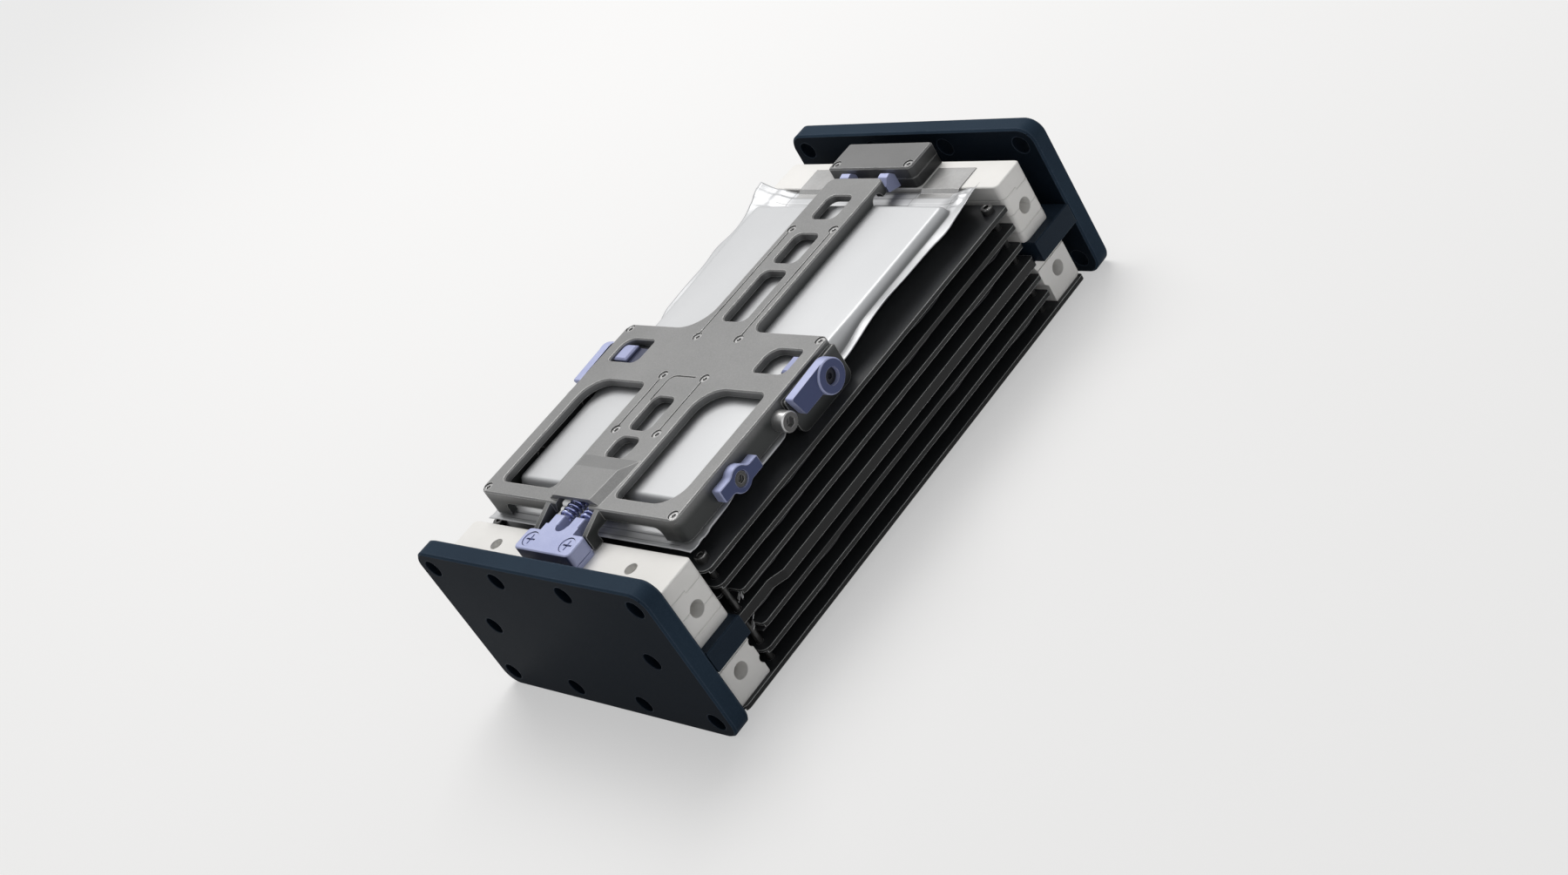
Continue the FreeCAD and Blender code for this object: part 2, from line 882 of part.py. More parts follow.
def frame_windows():
    """Window outlines; the big radius is at the left rear and right front of a large one."""
    front = frame_front_y + large_window_front
    rear = small_window_y0 - window_crossbar
    big, small, tight = large_window_big_radius, small_radius, tight_radius
    x0, x1 = window_inner, large_window_outer
    loops = [
        [(-x1, front, small), (-x0, front, small), (-x0, rear, small), (-x1, rear, big)],
        [(x0, front, small), (x1, front, big), (x1, rear, small), (x0, rear, big)],
    ]
    x0, x1 = small_window_inner, small_window_outer
    y0, y1 = small_window_y0, small_window_y1
    loops.append([(-x1, y0, tight), (-x0, y0, small), (-x0, y1, tight), (-x1, y1, small_window_corner)])
    loops.append([(x0, y0, tight), (x1, y0, small), (x1, y1, tight), (x0, y1, small_window_corner)])
    half = spine_window_half
    for start, length in zip(rear_window_starts, rear_window_lengths):
        y0 = shoulder_y + start * spine_length
        loops.append(frame_corners(-half, half, y0, y0 + length * spine_length, small))
    half = front_window_half
    for start, length in zip(front_window_starts, front_window_lengths):
        y0 = frame_front_y + start
        loops.append(frame_corners(-half, half, y0, y0 + length, small))
    return loops


front_groove_y0 = frame_front_y + front_groove_start
front_groove_y1 = frame_front_y + front_groove_end
rear_groove_y0 = shoulder_y - rear_groove_start
rear_groove_y1 = shoulder_y + rear_groove_share * spine_length


def frame_screw_places():
    corner_x = frame_half_width - corner_screw_inset
    places = []
    for y in (frame_front_y + corner_screw_inset, shoulder_y - corner_screw_inset):
        places += [(corner_x, y), (-corner_x, y)]
    for y in (front_groove_y0, front_groove_y1, rear_groove_y0, rear_groove_y1):
        places += [(spine_screw_x, y), (-spine_screw_x, y)]
    return places


def groove(x, y0, y1):
    half = groove_width / 2.0
    return slab(x - half, x + half, y0, y1, frame_top - groove_depth, frame_top)


def hooked_groove():
    half = groove_width / 2.0
    y = front_groove_y1
    end_y = y - hook_groove_length
    x = hook_groove_x
    r = small_radius
    return prism_z(
        [
            (x, y + half, 0.0),
            (-x - half, y + half, r + groove_width),
            (-x - half, end_y, 0.0),
            (-x + half, end_y, 0.0),
            (-x + half, y - half, r),
            (x, y - half, 0.0),
        ],
        frame_top - groove_depth,
        frame_top,
    )


bridge_top = frame_top + bridge_rise
bridge_end_y = frame_front_y + bridge_end_gap
ramp_y = frame_front_y + ramp_foot
tunnel_end_y = frame_front_y + tunnel_length
yoke_end_y = spring_block_y1 + yoke_gap
lug_face = frame_half_width + lug_thickness
eye_y = shoulder_y - lever_eye_from_shoulder
eye_z = frame_top - lever_eye_drop
stop_y = eye_y - stop_from_eye
stop_z = frame_top - side_screw_drop
lug_y0 = stop_y + stop_head_radius + lug_stop_gap
lug_y1 = lug_y0 + lug_length
clip_y = frame_front_y + clip_share * (stop_y - frame_front_y)
clip_z = frame_top - clip_drop
pin_tip_x = frame_half_width - frame_wall


def bridge_section(y, half_top, top):
    """Trapezoid across the bridge, its sides flaring down to the frame's top."""
    half_low = half_top + bridge_flare * (top - frame_top) / bridge_rise
    points = [
        vec(-half_low, y, plate_underside),
        vec(half_low, y, plate_underside),
        vec(half_low, y, frame_top),
        vec(half_top, y, top),
        vec(-half_top, y, top),
        vec(-half_low, y, frame_top),
    ]
    return Part.makePolygon(points + points[:1])


def bridge():
    """Raised bridge, lofted from the ramp's foot over its crown to the front edge."""
    foot = bridge_section(ramp_y, bridge_foot_half, frame_top + frame_bevel / 4.0)
    crown = bridge_section(ramp_y - ramp_length, bridge_crown_half, bridge_top)
    front = bridge_section(bridge_end_y, bridge_front_half, bridge_top)
    return Part.makeLoft([foot, crown, front], True, True)


def clamp_frame():
    body = prism_z(frame_outline(0.0), frame_skirt_bottom, frame_top)
    pocket = prism_z(frame_outline(frame_wall), frame_skirt_bottom, plate_underside)
    wall_bottom = cell_top + frame_cell_gap
    inside = frame_half_width - frame_wall
    over_y0 = top_y0 - frame_cell_gap
    over_y1 = top_y1 + frame_cell_gap
    over_cell = slab(-inside, inside, over_y0, over_y1, frame_skirt_bottom, wall_bottom)
    spine_bottom = frame_top - spine_wall_depth
    under_spine = slab(
        -frame_half_width, frame_half_width, shoulder_y, spine_end_y, frame_skirt_bottom, spine_bottom
    )
    notch_y = spine_end_y - hook_leg - hook_notch_radius
    notch = rod_x(hook_notch_radius, -spine_half_width, spine_half_width, notch_y, spine_bottom)
    arch_half = frame_half_width - front_leg_width
    arch_roof = frame_top - front_arch_height
    arch = prism_y(
        [
            (-arch_half, frame_skirt_bottom, 0.0),
            (arch_half, frame_skirt_bottom, 0.0),
            (arch_half, arch_roof, small_radius),
            (-arch_half, arch_roof, small_radius),
        ],
        frame_front_y,
        frame_front_y + frame_wall,
    )
    windows = [prism_z(loop, frame_skirt_bottom, frame_top) for loop in frame_windows()]
    body = body.cut([pocket, over_cell, under_spine, notch, arch] + windows)
    body = body.makeChamfer(frame_bevel, edges_at(body, "z", frame_top))

    yoke = []
    yoke_foot = block_1_top + yoke_gap
    for x0 in (yoke_outer - yoke_wall, -yoke_outer):
        yoke.append(
            prism_x(
                [
                    (yoke_end_y, yoke_foot, yoke_rounding),
                    (yoke_end_y + yoke_foot_length, yoke_foot, 0.0),
                    (yoke_end_y + yoke_foot_length, yoke_foot + yoke_arch, yoke_rounding),
                    (bridge_end_y, yoke_foot + yoke_arch, 0.0),
                    (bridge_end_y + frame_wall, plate_underside, 0.0),
                    (bridge_end_y + frame_wall, frame_top, 0.0),
                    (bridge_end_y, frame_top, 0.0),
                    (yoke_end_y, spring_block_top - yoke_end_drop, yoke_rounding),
                ],
                x0,
                x0 + yoke_wall,
            )
        )
    lugs = []
    for side in (1.0, -1.0):
        x0, x1 = side * frame_half_width, side * lug_face
        lugs.append(
            prism_x(
                [
                    (lug_y0, tray_top, lug_corner_radius),
                    (lug_y1, tray_top, lug_corner_radius),
                    (lug_y1, frame_top - lug_top_drop, 1.0),
                    (lug_y0, frame_top - lug_top_drop, 1.0),
                ],
                min(x0, x1),
                max(x0, x1),
            )
        )
    rib = slab(
        -tunnel_half_width - frame_wall,
        tunnel_half_width + frame_wall,
        tunnel_end_y,
        tunnel_end_y + tunnel_rib,
        frame_top - tunnel_rib_depth,
        plate_underside,
    )
    body = one([body, bridge(), rib] + yoke + lugs)

    roof = bridge_top - tunnel_roof
    shoulder = frame_top - tunnel_shoulder_drop
    tunnel = prism_y(
        [
            (-tunnel_half_width, frame_skirt_bottom, 0.0),
            (tunnel_half_width, frame_skirt_bottom, 0.0),
            (tunnel_half_width, shoulder, small_radius),
            (tunnel_roof_half, roof, tight_radius),
            (-tunnel_roof_half, roof, tight_radius),
            (-tunnel_half_width, shoulder, small_radius),
        ],
        frame_front_y,
        tunnel_end_y,
    )
    cuts = [tunnel, hooked_groove()]
    for x in (spine_screw_x, -spine_screw_x):
        cuts.append(groove(x, rear_groove_y0, rear_groove_y1))
        cuts.append(groove(x, front_groove_y0, front_groove_y1))
    for x, y in frame_screw_places():
        cuts.append(rod_z(screw_head_radius + screw_clearance, frame_top - screw_recess, frame_top, x, y))
        cuts.append(rod_z(screw_socket_radius, plate_underside, frame_top, x, y))
    for side in (1.0, -1.0):
        inner, outer = side * pin_tip_x, side * lug_face
        low, high = min(inner, outer), max(inner, outer)
        cuts.append(rod_x(pin_radius, low, high, eye_y, eye_z))
        cuts.append(rod_x(side_screw_shank, low, high, stop_y, stop_z))
        cuts.append(rod_x(side_screw_shank, low, high, clip_y, clip_z))
    return body.cut(cuts)


save("clamp_frame", clamp_frame())


frame_screws = []
for x, y in frame_screw_places():
    head_top = frame_top - screw_sink
    head_bottom = frame_top - screw_recess
    head = rod_z(screw_head_radius, head_bottom, head_top, x, y)
    shank = rod_z(screw_socket_radius, plate_underside, head_bottom, x, y)
    socket = hexagon_z(x, y, screw_socket_radius, head_top - screw_socket_depth, head_top)
    frame_screws.append(one([head, shank]).cut(socket))
save("frame_screws", Part.makeCompound(frame_screws))


# Levers, pins, stop screws, wing clips


def lever():
    x0 = lug_face + lever_gap
    x1 = x0 + lever_thickness
    eye = rod_x(lever_eye_radius, x0, x1, eye_y, eye_z)
    eye = eye.makeChamfer(lever_bevel / 2.0, edges_at(eye, "x", x1))
    end_y = eye_y - lever_reach
    top_z = eye_z + lever_arm_top
    low_z = top_z - lever_arm_height
    arm = prism_x(
        [
            (eye_y, eye_z + lever_eye_radius, 0.0),
            (end_y, top_z, 0.8),
            (end_y + lever_end_chamfer, low_z, 0.8),
            (eye_y, low_z, 0.0),
        ],
        x0,
        x1 - lever_step,
    )
    body = one([eye, arm])
    bore = rod_x(pin_radius + pin_clearance, x0, x1, eye_y, eye_z)
    recess = rod_x(eye_bore_radius, x1 - eye_bore_depth, x1, eye_y, eye_z)
    return body.cut([bore, recess])


def lever_pin():
    floor_x = lug_face + lever_gap + lever_thickness - eye_bore_depth
    head_x = floor_x + pin_head_float
    shank = rod_x(pin_radius, pin_tip_x, head_x, eye_y, eye_z)
    head = rod_x(pin_head_radius, head_x, head_x + pin_head_height, eye_y, eye_z)
    socket = hexagon_x(eye_y, eye_z, pin_radius * 0.6, head_x + pin_socket_floor, head_x + pin_head_height)
    return one([shank, head]).cut(socket)


right_lever = lever()
save("latch_lever_right", right_lever)
save("latch_lever_left", mirror_x(right_lever))
right_pin = lever_pin()
save("lever_pins", Part.makeCompound([right_pin, mirror_x(right_pin)]))


def wing_clip():
    x0 = frame_half_width
    x1 = x0 + clip_thickness
    half = clip_wing_height / 2.0
    hub = rod_x(clip_hub_radius, x0, x1, clip_y, clip_z)
    wings = []
    for side in (1.0, -1.0):
        z = clip_z - side * clip_wing_offset
        y_tip = clip_y + side * clip_wing_length
        wings.append(
            prism_x(
                frame_corners(min(clip_y, y_tip), max(clip_y, y_tip), z - half, z + half, 0.9),
                x0,
                x1,
            )
        )
    body = one([hub] + wings)
    waist = [e for e in body.Edges if waist_edge(e, x0, x1)]
    body = body.makeFillet(clip_waist_radius, waist)
    body = body.makeChamfer(clip_bevel, edges_at(body, "x", x1))
    recess = rod_x(clip_screw_head_radius + screw_clearance, x1 - clip_screw_recess, x1, clip_y, clip_z)
    shank = rod_x(side_screw_shank, x0, x1, clip_y, clip_z)
    return body.cut([recess, shank])


def waist_edge(edge, x0, x1):
    """Edge along X where a wing runs into the hub."""
    box = edge.BoundBox
    spans = abs(box.XMin - x0) < 1e-4 and abs(box.XMax - x1) < 1e-4
    thin = box.YLength < 1e-4 and box.ZLength < 1e-4
    reach = math.hypot(box.YMin - clip_y, box.ZMin - clip_z)
    return spans and thin and abs(reach - clip_hub_radius) < 1e-3


right_clip = wing_clip()
save("wing_clip_right", right_clip)
save("wing_clip_left", mirror_x(right_clip))


def stop_screw():
    x0 = frame_half_width
    x1 = x0 + stop_head_height
    head = rod_x(stop_head_radius, x0, x1, stop_y, stop_z)
    head = head.makeChamfer(stop_bevel, edges_at(head, "x", x1))
    shank = rod_x(side_screw_shank, pin_tip_x, x0, stop_y, stop_z)
    socket = hexagon_x(stop_y, stop_z, stop_socket_radius, x1 - stop_head_height / 2.0, x1)
    return one([head, shank]).cut(socket)


def clip_screw():
    x1 = frame_half_width + clip_thickness - screw_sink
    x0 = frame_half_width + clip_thickness - clip_screw_recess
    head = rod_x(clip_screw_head_radius, x0, x1, clip_y, clip_z)
    shank = rod_x(side_screw_shank, pin_tip_x, x0, clip_y, clip_z)
    socket = hexagon_x(clip_y, clip_z, stop_socket_radius * 0.8, x1 - clip_screw_socket, x1)
    return one([head, shank]).cut(socket)


right_stop = stop_screw()
right_clip_screw = clip_screw()
save("stop_screws", Part.makeCompound([right_stop, mirror_x(right_stop)]))
save("clip_screws", Part.makeCompound([right_clip_screw, mirror_x(right_clip_screw)]))


# Clamp pads on the cell, under the small windows


def pad(x0, x1, rear_radius):
    """Block on the cell that fills part of a small window, its top rim bevelled."""
    y = (small_window_y0 + small_window_y1) / 2.0
    y0, y1 = y - pad_length / 2.0, y + pad_length / 2.0
    top = cell_top + pad_height
    plan = [(x0, y0, 0.0), (x1, y0, 0.0), (x1, y1, 0.0), (x0, y1, rear_radius)]
    body = prism_z(plan, cell_top, top)
    return body.makeChamfer(pad_bevel, edges_at(body, "z", top))


pad_edge = small_window_outer - pad_window_gap
left_pad = pad(-pad_edge, left_pad_width - pad_edge, pad_corner)
pad_step = slab(
    left_pad_width - pad_edge,
    left_pad_width + pad_step_width - pad_edge,
    left_pad.BoundBox.YMin,
    left_pad.BoundBox.YMax,
    cell_top,
    cell_top + pad_height - pad_step_drop,
)
save("clamp_pad_left", one([left_pad, pad_step]))
save("clamp_pad_right", pad(pad_edge - right_pad_width, pad_edge, 0.0))


# Spring block, its screws and the springs

prong_z = spring_block_top - spring_drop
prong_end_y = spring_block_y1 + prong_reach


def spring_block():
    half = spring_block_half_width
    y0, y1 = spring_block_y0, spring_block_y1
    top = spring_block_top
    base = prism_z(frame_corners(-half, half, y0, y1, spring_block_corner), block_1_top, top)
    base = base.makeChamfer(spring_block_bevel, edges_at(base, "z", top))
    under = top - neck_thickness
    pieces = [base, slab(-neck_half_width, neck_half_width, y1 - neck_root, y1 + neck_reach, under, top)]
    r = prong_rounding
    for x in (prong_x, -prong_x):
        side = prong_width / 2.0
        section = [(x - side, under, r), (x + side, under, r), (x + side, top, r), (x - side, top, r)]
        pieces.append(prism_y(section, y1, prong_end_y))
        pieces.append(rod_y(guide_radius, prong_end_y, tunnel_end_y - guide_end_gap, x, prong_z))
    body = one(pieces)
    cuts = []
    slot = prong_x - prong_width / 2.0
    slot_y = y1 + neck_reach
    cuts.append(rod_z(slot, under, top, 0.0, slot_y))
    for x, y in block_screw_places():
        seat = top - block_screw_head - block_screw_sink
        cuts.append(rod_z(block_screw_radius + screw_clearance, seat, top, x, y))
        cuts.append(rod_z(block_screw_shank, block_1_top, top, x, y))
    z = block_1_top + spring_block_groove
    for side in (1.0, -1.0):
        x_outer = side * half
        x_inner = x_outer - side * ledge_groove
        cuts.append(slab(min(x_outer, x_inner), max(x_outer, x_inner), y0, y1, z - ledge_groove, z))
    return body.cut(cuts)


def block_screw(x, y):
    """Screw with a shallow cross cut in its flat head."""
    top = spring_block_top - block_screw_sink
    seat = top - block_screw_head
    head = rod_z(block_screw_radius, seat, top, x, y)
    shank = rod_z(block_screw_shank, block_1_top - block_screw_bite, seat, x, y)
    half = block_screw_slot / 2.0
    reach = block_screw_radius * 0.7
    cross = [
        slab(x - half, x + half, y - reach, y + reach, top - block_screw_cross, top),
        slab(x - reach, x + reach, y - half, y + half, top - block_screw_cross, top),
    ]
    return one([head, shank]).cut(cross)


def spring(x):
    """Coil spring between a prong's end and the rear wall of the tunnel."""
    y0 = prong_end_y + spring_wire
    y1 = tunnel_end_y - spring_wire
    height = y1 - y0
    helix = Part.makeHelix(height / spring_turns, height, spring_radius)
    section = Part.Wire(
        Part.Circle(vec(spring_radius, 0, 0), vec(0, 1, 0), spring_wire).toShape()
    )
    coil = Part.Wire(helix).makePipeShell([section], True, True)
    coil.rotate(vec(0, 0, 0), vec(1, 0, 0), -90.0)
    coil.translate(vec(x, y0, prong_z))
    return coil


save("spring_block", spring_block())
save("spring_right", spring(prong_x))
save("spring_left", spring(-prong_x))
save("spring_block_screws", Part.makeCompound([block_screw(x, y) for x, y in block_screw_places()]))


# Terminal block and hook clips

terminal_seam_z = block_1_top + terminal_base_height
terminal_top = terminal_seam_z + terminal_cover_height


def terminal_half(z0, z1, bevelled, bevel):
    half = terminal_half_width
    r = terminal_corner
    body = prism_z(
        [
            (-half, terminal_y0, r),
            (half - terminal_corner_cut, terminal_y0, r),
            (half, terminal_y0 + terminal_corner_cut, r),
            (half, terminal_y1, r),
            (-half, terminal_y1, r),
        ],
        z0,
        z1,
    )
    return body.makeChamfer(bevel, edges_at(body, "z", bevelled))


def terminal_holes(z0, z1):
    return [rod_z(terminal_screw_shank, z0, z1, x, y) for x, y in terminal_screw_places()]


base = terminal_half(block_1_top, terminal_seam_z, terminal_seam_z, terminal_seam / 2.0)
ring_z = terminal_seam_z - ring_drop
ring_y1 = terminal_y0 + ring_depth
ring = rod_y(ring_radius, terminal_y0, ring_y1, ring_x, ring_z)
ring = ring.cut(rod_y(ring_radius - ring_width, terminal_y0, ring_y1, ring_x, ring_z))
save("terminal_base", base.cut(terminal_holes(block_1_top, terminal_seam_z) + [ring]))
cover = terminal_half(terminal_seam_z, terminal_top, terminal_top, terminal_bevel)
recesses = []
for x, y in terminal_screw_places():
    recesses.append(
        rod_z(screw_head_radius + screw_clearance, terminal_top - screw_recess, terminal_top, x, y)
    )
save("terminal_cover", cover.cut(terminal_holes(terminal_seam_z, terminal_top) + recesses))

terminal_screws = []
for x, y in terminal_screw_places():
    head_top = terminal_top - screw_sink
    head_bottom = terminal_top - screw_recess
    head = rod_z(screw_head_radius, head_bottom, head_top, x, y)
    shank = rod_z(terminal_screw_shank, block_1_top - terminal_screw_bite, head_bottom, x, y)
    socket = hexagon_z(x, y, screw_socket_radius, head_top - screw_socket_depth, head_top)
    terminal_screws.append(one([head, shank]).cut(socket))
save("terminal_screws", Part.makeCompound(terminal_screws))


def hook_clip(x):
    """Small clip wedged between the spine's end and the terminal block."""
    floor = block_1_top + hook_floor
    outline = [
        (spine_end_y, floor + hook_nub, 0.6),
        (terminal_y0, floor, 0.4),
        (terminal_y0, floor + hook_rise - hook_nub, 0.6),
        (terminal_y0 - hook_nub, floor + hook_rise, 1.0),
        (terminal_y0 - 2.0 * hook_nub, floor + hook_rise - hook_dip, 0.8),
        (spine_end_y, floor + hook_rise - 1.5 * hook_nub, 0.6),
    ]
    return prism_x(outline, x - hook_width / 2.0, x + hook_width / 2.0)


save("hook_clips", Part.makeCompound([hook_clip(clip_hook_x), hook_clip(-clip_hook_x)]))
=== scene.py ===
import math

import bpy
import numpy as np
from mathutils import Matrix, Vector


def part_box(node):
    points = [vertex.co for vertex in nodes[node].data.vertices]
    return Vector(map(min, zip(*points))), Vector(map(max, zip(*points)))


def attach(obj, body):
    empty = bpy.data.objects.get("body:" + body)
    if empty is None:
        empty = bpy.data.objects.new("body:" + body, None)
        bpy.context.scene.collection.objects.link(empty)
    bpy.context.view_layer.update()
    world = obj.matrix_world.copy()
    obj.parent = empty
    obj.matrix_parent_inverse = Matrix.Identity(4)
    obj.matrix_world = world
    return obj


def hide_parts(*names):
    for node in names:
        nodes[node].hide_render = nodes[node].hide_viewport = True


# Pouch cell stack in its clamp fixture: looks, the soft cells, camera and light

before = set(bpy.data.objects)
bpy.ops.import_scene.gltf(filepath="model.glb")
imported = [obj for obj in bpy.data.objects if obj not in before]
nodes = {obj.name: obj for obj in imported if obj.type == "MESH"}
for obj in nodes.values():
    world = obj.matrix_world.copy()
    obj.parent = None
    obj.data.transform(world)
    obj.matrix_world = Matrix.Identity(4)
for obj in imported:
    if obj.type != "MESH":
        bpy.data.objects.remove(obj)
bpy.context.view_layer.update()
mm = 0.001
print("frame loaded:", len(nodes), "nodes")


# Shader maths: a wire is a socket that adds, multiplies and compares
class Wire:
    def __init__(self, net, socket):
        self.net, self.socket = net, socket

    def combine(self, operation, other=0.0, swapped=False, clamp=False):
        first, second = (other, self) if swapped else (self, other)
        settings = {"operation": operation, "use_clamp": clamp}
        return self.net.make("Math", settings, {0: first, 1: second})

    def __add__(self, other): return self.combine("ADD", other)
    def __radd__(self, other): return self.combine("ADD", other)
    def __sub__(self, other): return self.combine("SUBTRACT", other)
    def __rsub__(self, other): return self.combine("SUBTRACT", other, True)
    def __mul__(self, other): return self.combine("MULTIPLY", other)
    def __rmul__(self, other): return self.combine("MULTIPLY", other)
    def __lt__(self, other): return self.combine("LESS_THAN", other)
    def __gt__(self, other): return self.combine("GREATER_THAN", other)

    def clamped(self): return self.combine("ADD", 0.0, clamp=True)
    def absolute(self): return self.combine("ABSOLUTE")

    # smooth step: 0 at low, 1 at high, either way round
    def between(self, low, high):
        values = {"Value": self, "From Min": low, "From Max": high}
        return self.net.make("MapRange", {"interpolation_type": "SMOOTHSTEP"}, values)


edgeMask = {"samples": 4, "from": 0.01, "full": 0.12}


# Node tree of a material or the world; make() adds any node by its type, settings and inputs
class Net:
    def __init__(self, owner):
        owner.use_nodes = True
        self.owner, self.tree = owner, owner.node_tree
        self.tree.nodes.clear()

    def make(self, kind, settings=None, values=None, out=0):
        node = self.tree.nodes.new("ShaderNode" + kind)
        for key, value in (settings or {}).items():
            setattr(node, key, value)
        for key, value in (values or {}).items():
            socket = node.inputs[key]
            if isinstance(value, Wire):
                self.tree.links.new(value.socket, socket)
            else:
                opaque = socket.type == "RGBA" and len(value) == 3
                socket.default_value = tuple(value) + (1.0,) if opaque else value
        return Wire(self, node.outputs[out]) if node.outputs else None

    def close(self, shader, output="OutputMaterial"):
        self.make(output, None, {0: shader})
        return self.owner

    def place(self): return self.make("TexCoord", out="Object")
    def normal(self): return self.make("NewGeometry", out="Normal")

    # one coordinate of a vector: of the point itself when none is given
    def part(self, axis, vector=None):
        return self.make("SeparateXYZ", None, {0: vector or self.place()}, out=axis)

    def dot(self, first, second):
        settings = {"operation": "DOT_PRODUCT"}
        return self.make("VectorMath", settings, {0: first, 1: second}, out="Value")

    # 1 on a line at a coordinate and over the flat share of its width, 0 a width away from it
    def stripe(self, value, centre, width, flat):
        return (value - centre).absolute().between(width, flat * width)

    def scaled(self, factors):
        return self.make("Mapping", None, {"Vector": self.place(), "Scale": factors})

    def noise(self, scale, detail, roughness=0.55, where=None):
        values = {"Vector": where or self.place(), "Scale": scale, "Detail": detail,
                  "Roughness": roughness}
        return self.make("TexNoise", None, values)

    def blend(self, factor, first, second):
        settings = {"data_type": "RGBA", "clamp_factor": True}
        return self.make("Mix", settings, {0: factor, 6: first, 7: second}, out=2)

    def rounded(self, radius):
        return self.make("Bevel", {"samples": edgeMask["samples"]}, {"Radius": radius})

    # how far the rounded normal leaves the flat one: 0 on a face, towards 1 on an edge
    def edges(self, radius):
        apart = 1.0 - self.dot(self.rounded(radius), self.normal())
        return apart.between(edgeMask["from"], edgeMask["full"])

    def bump(self, height, strength, distance, under=None):
        values = {"Height": height, "Strength": strength, "Distance": distance}
        if under:
            values["Normal"] = under
        return self.make("Bump", None, values)

    def finish(self, values):
        return self.close(self.make("BsdfPrincipled", None, values))


def newMaterial(name):
    return Net(bpy.data.materials.new(name))


# what every satin metal has in common
metalGrain = {"patches": (0.3, 0.7), "specks": (0.35, 0.75), "wornAndHighlit": (0.2, 0.5),
              "facing": (0.7, 0.97), "upward": 0.9, "grooveDepth": 0.00005, "bumpDepth": 0.0002,
              "roughPatches": 0.10, "roughWorn": 0.12}


# Anodised or blasted metal: fine grain in the bump, soft patches, paler edges that are rubbed wear
# and a painted highlight. A look may paint shade in its own colour on the faces along an axis,
# below a height, in the grooves, or in the core, away from the outer sides, where the walls of the
# holes are
def satinMetal(name, look, shared=metalGrain):
    net = newMaterial(name)
    patches = net.noise(look["patchScale"], detail=4.0)
    grain = net.noise(look["grainScale"], detail=2.0, roughness=0.6)
    # edges paler in patches: rubbed wear and a painted highlight
    edgePatches = net.noise(look["edgePatchScale"], detail=5.0).between(*shared["wornAndHighlit"])
    wornAndHighlit = net.edges(look["edge"]) * edgePatches
    base = net.blend(patches.between(*shared["patches"]), look["dark"], look["light"])
    base = net.blend(grain.between(*shared["specks"]) * look["speck"], base, look["fleck"])
    # painted shade: faces along the look's axis take its darker colour
    if "faceAxis" in look:
        along = net.dot(net.normal(), look["faceAxis"])
        along = along.absolute() if look["bothFaces"] else along
        base = net.blend(along.between(*shared["facing"]), base, look["paintedShadeColour"])
    # painted shade: darker colour below a height
    if "deep" in look:
        above = net.part(2).between(look["deepFrom"], look["deepTo"])
        base = net.blend(above, look["deep"], base)
    # painted shade in the grooves: upward faces sunk just below the top, behind a given y
    if "groove" in look:
        upward = net.part(2, net.normal()) > shared["upward"]
        sunk = net.part(2).between(look["groove"] + shared["grooveDepth"], look["groove"])
        behind = net.part(1) > look["grooveFrom"]
        base = net.blend(upward * sunk * behind, base, look["deep"])
    # painted shade on the walls of the holes, in the core away from the outer sides
    if "coreHalf" in look:
        across, height = net.part(0).absolute(), net.part(2)
        low, high = height > look["coreLow"], height < look["coreHigh"]
        base = net.blend((across < look["coreHalf"]) * low * high, base, look["paintedShadeColour"])
    rough = look["rough"] + shared["roughPatches"] * (patches - 0.5)
    rough = rough - shared["roughWorn"] * wornAndHighlit
    normal = net.bump(grain, look["bump"], shared["bumpDepth"], net.rounded(look["round"]))
    return net.finish({
        "Base Color": net.blend(wornAndHighlit * look["wearAndHighlight"], base, look["rubbedAndHighlit"]), "Roughness": rough,
        "Metallic": look["metal"], "Normal": normal, "Specular IOR Level": look.get("gloss", 0.5),
        "Specular Tint": look.get("tint", (1.0, 1.0, 1.0))})


# navy plates: painted shade, near black, on the faces front and back; edges paler as wear and
# painted highlight
navyPlate = satinMetal("navyPlate", {
    "dark": (0.019, 0.032, 0.051), "light": (0.024, 0.041, 0.063), "fleck": (0.037, 0.057, 0.085),
    "rubbedAndHighlit": (0.12, 0.16, 0.22), "patchScale": 14.0, "grainScale": 1500.0, "edgePatchScale": 60.0,
    "edge": 0.0008, "round": 0.0006, "speck": 0.25, "wearAndHighlight": 0.4, "rough": 0.44, "bump": 0.25,
    "metal": 0.0, "gloss": 0.02, "tint": (0.55, 0.78, 1.0),
    "faceAxis": (0.0, 1.0, 0.0), "bothFaces": True, "paintedShadeColour": (0.006, 0.010, 0.016),
    # painted shade on the walls of the holes
    "coreHalf": 0.0725, "coreLow": 0.003, "coreHigh": 0.0772})
navyBar = satinMetal("navyBar", {
    "dark": (0.009, 0.015, 0.025), "light": (0.012, 0.02, 0.032), "fleck": (0.022, 0.034, 0.052),
    "rubbedAndHighlit": (0.08, 0.11, 0.15), "patchScale": 20.0, "grainScale": 1600.0, "edgePatchScale": 80.0,
    "edge": 0.0006, "round": 0.0004, "speck": 0.2, "wearAndHighlight": 0.3, "rough": 0.42, "bump": 0.2,
    "metal": 0.0, "gloss": 0.1, "tint": (0.55, 0.78, 1.0)})
# frame: painted shade on the walls below the top and on the groove floors; edges paler as wear and
# painted highlight
frameMetal = satinMetal("frameMetal", {
    "dark": (0.156, 0.158, 0.159), "light": (0.188, 0.190, 0.191), "fleck": (0.28, 0.28, 0.28),
    "rubbedAndHighlit": (0.62, 0.62, 0.61), "patchScale": 22.0, "grainScale": 1800.0, "edgePatchScale": 90.0,
    "edge": 0.0006, "round": 0.0004, "speck": 0.3, "wearAndHighlight": 0.85, "rough": 0.42, "bump": 0.14,
    "metal": 0.35, "deep": (0.035, 0.038, 0.038), "deepFrom": 0.0765, "deepTo": 0.0818,
    "groove": 0.0818, "grooveFrom": -0.09})
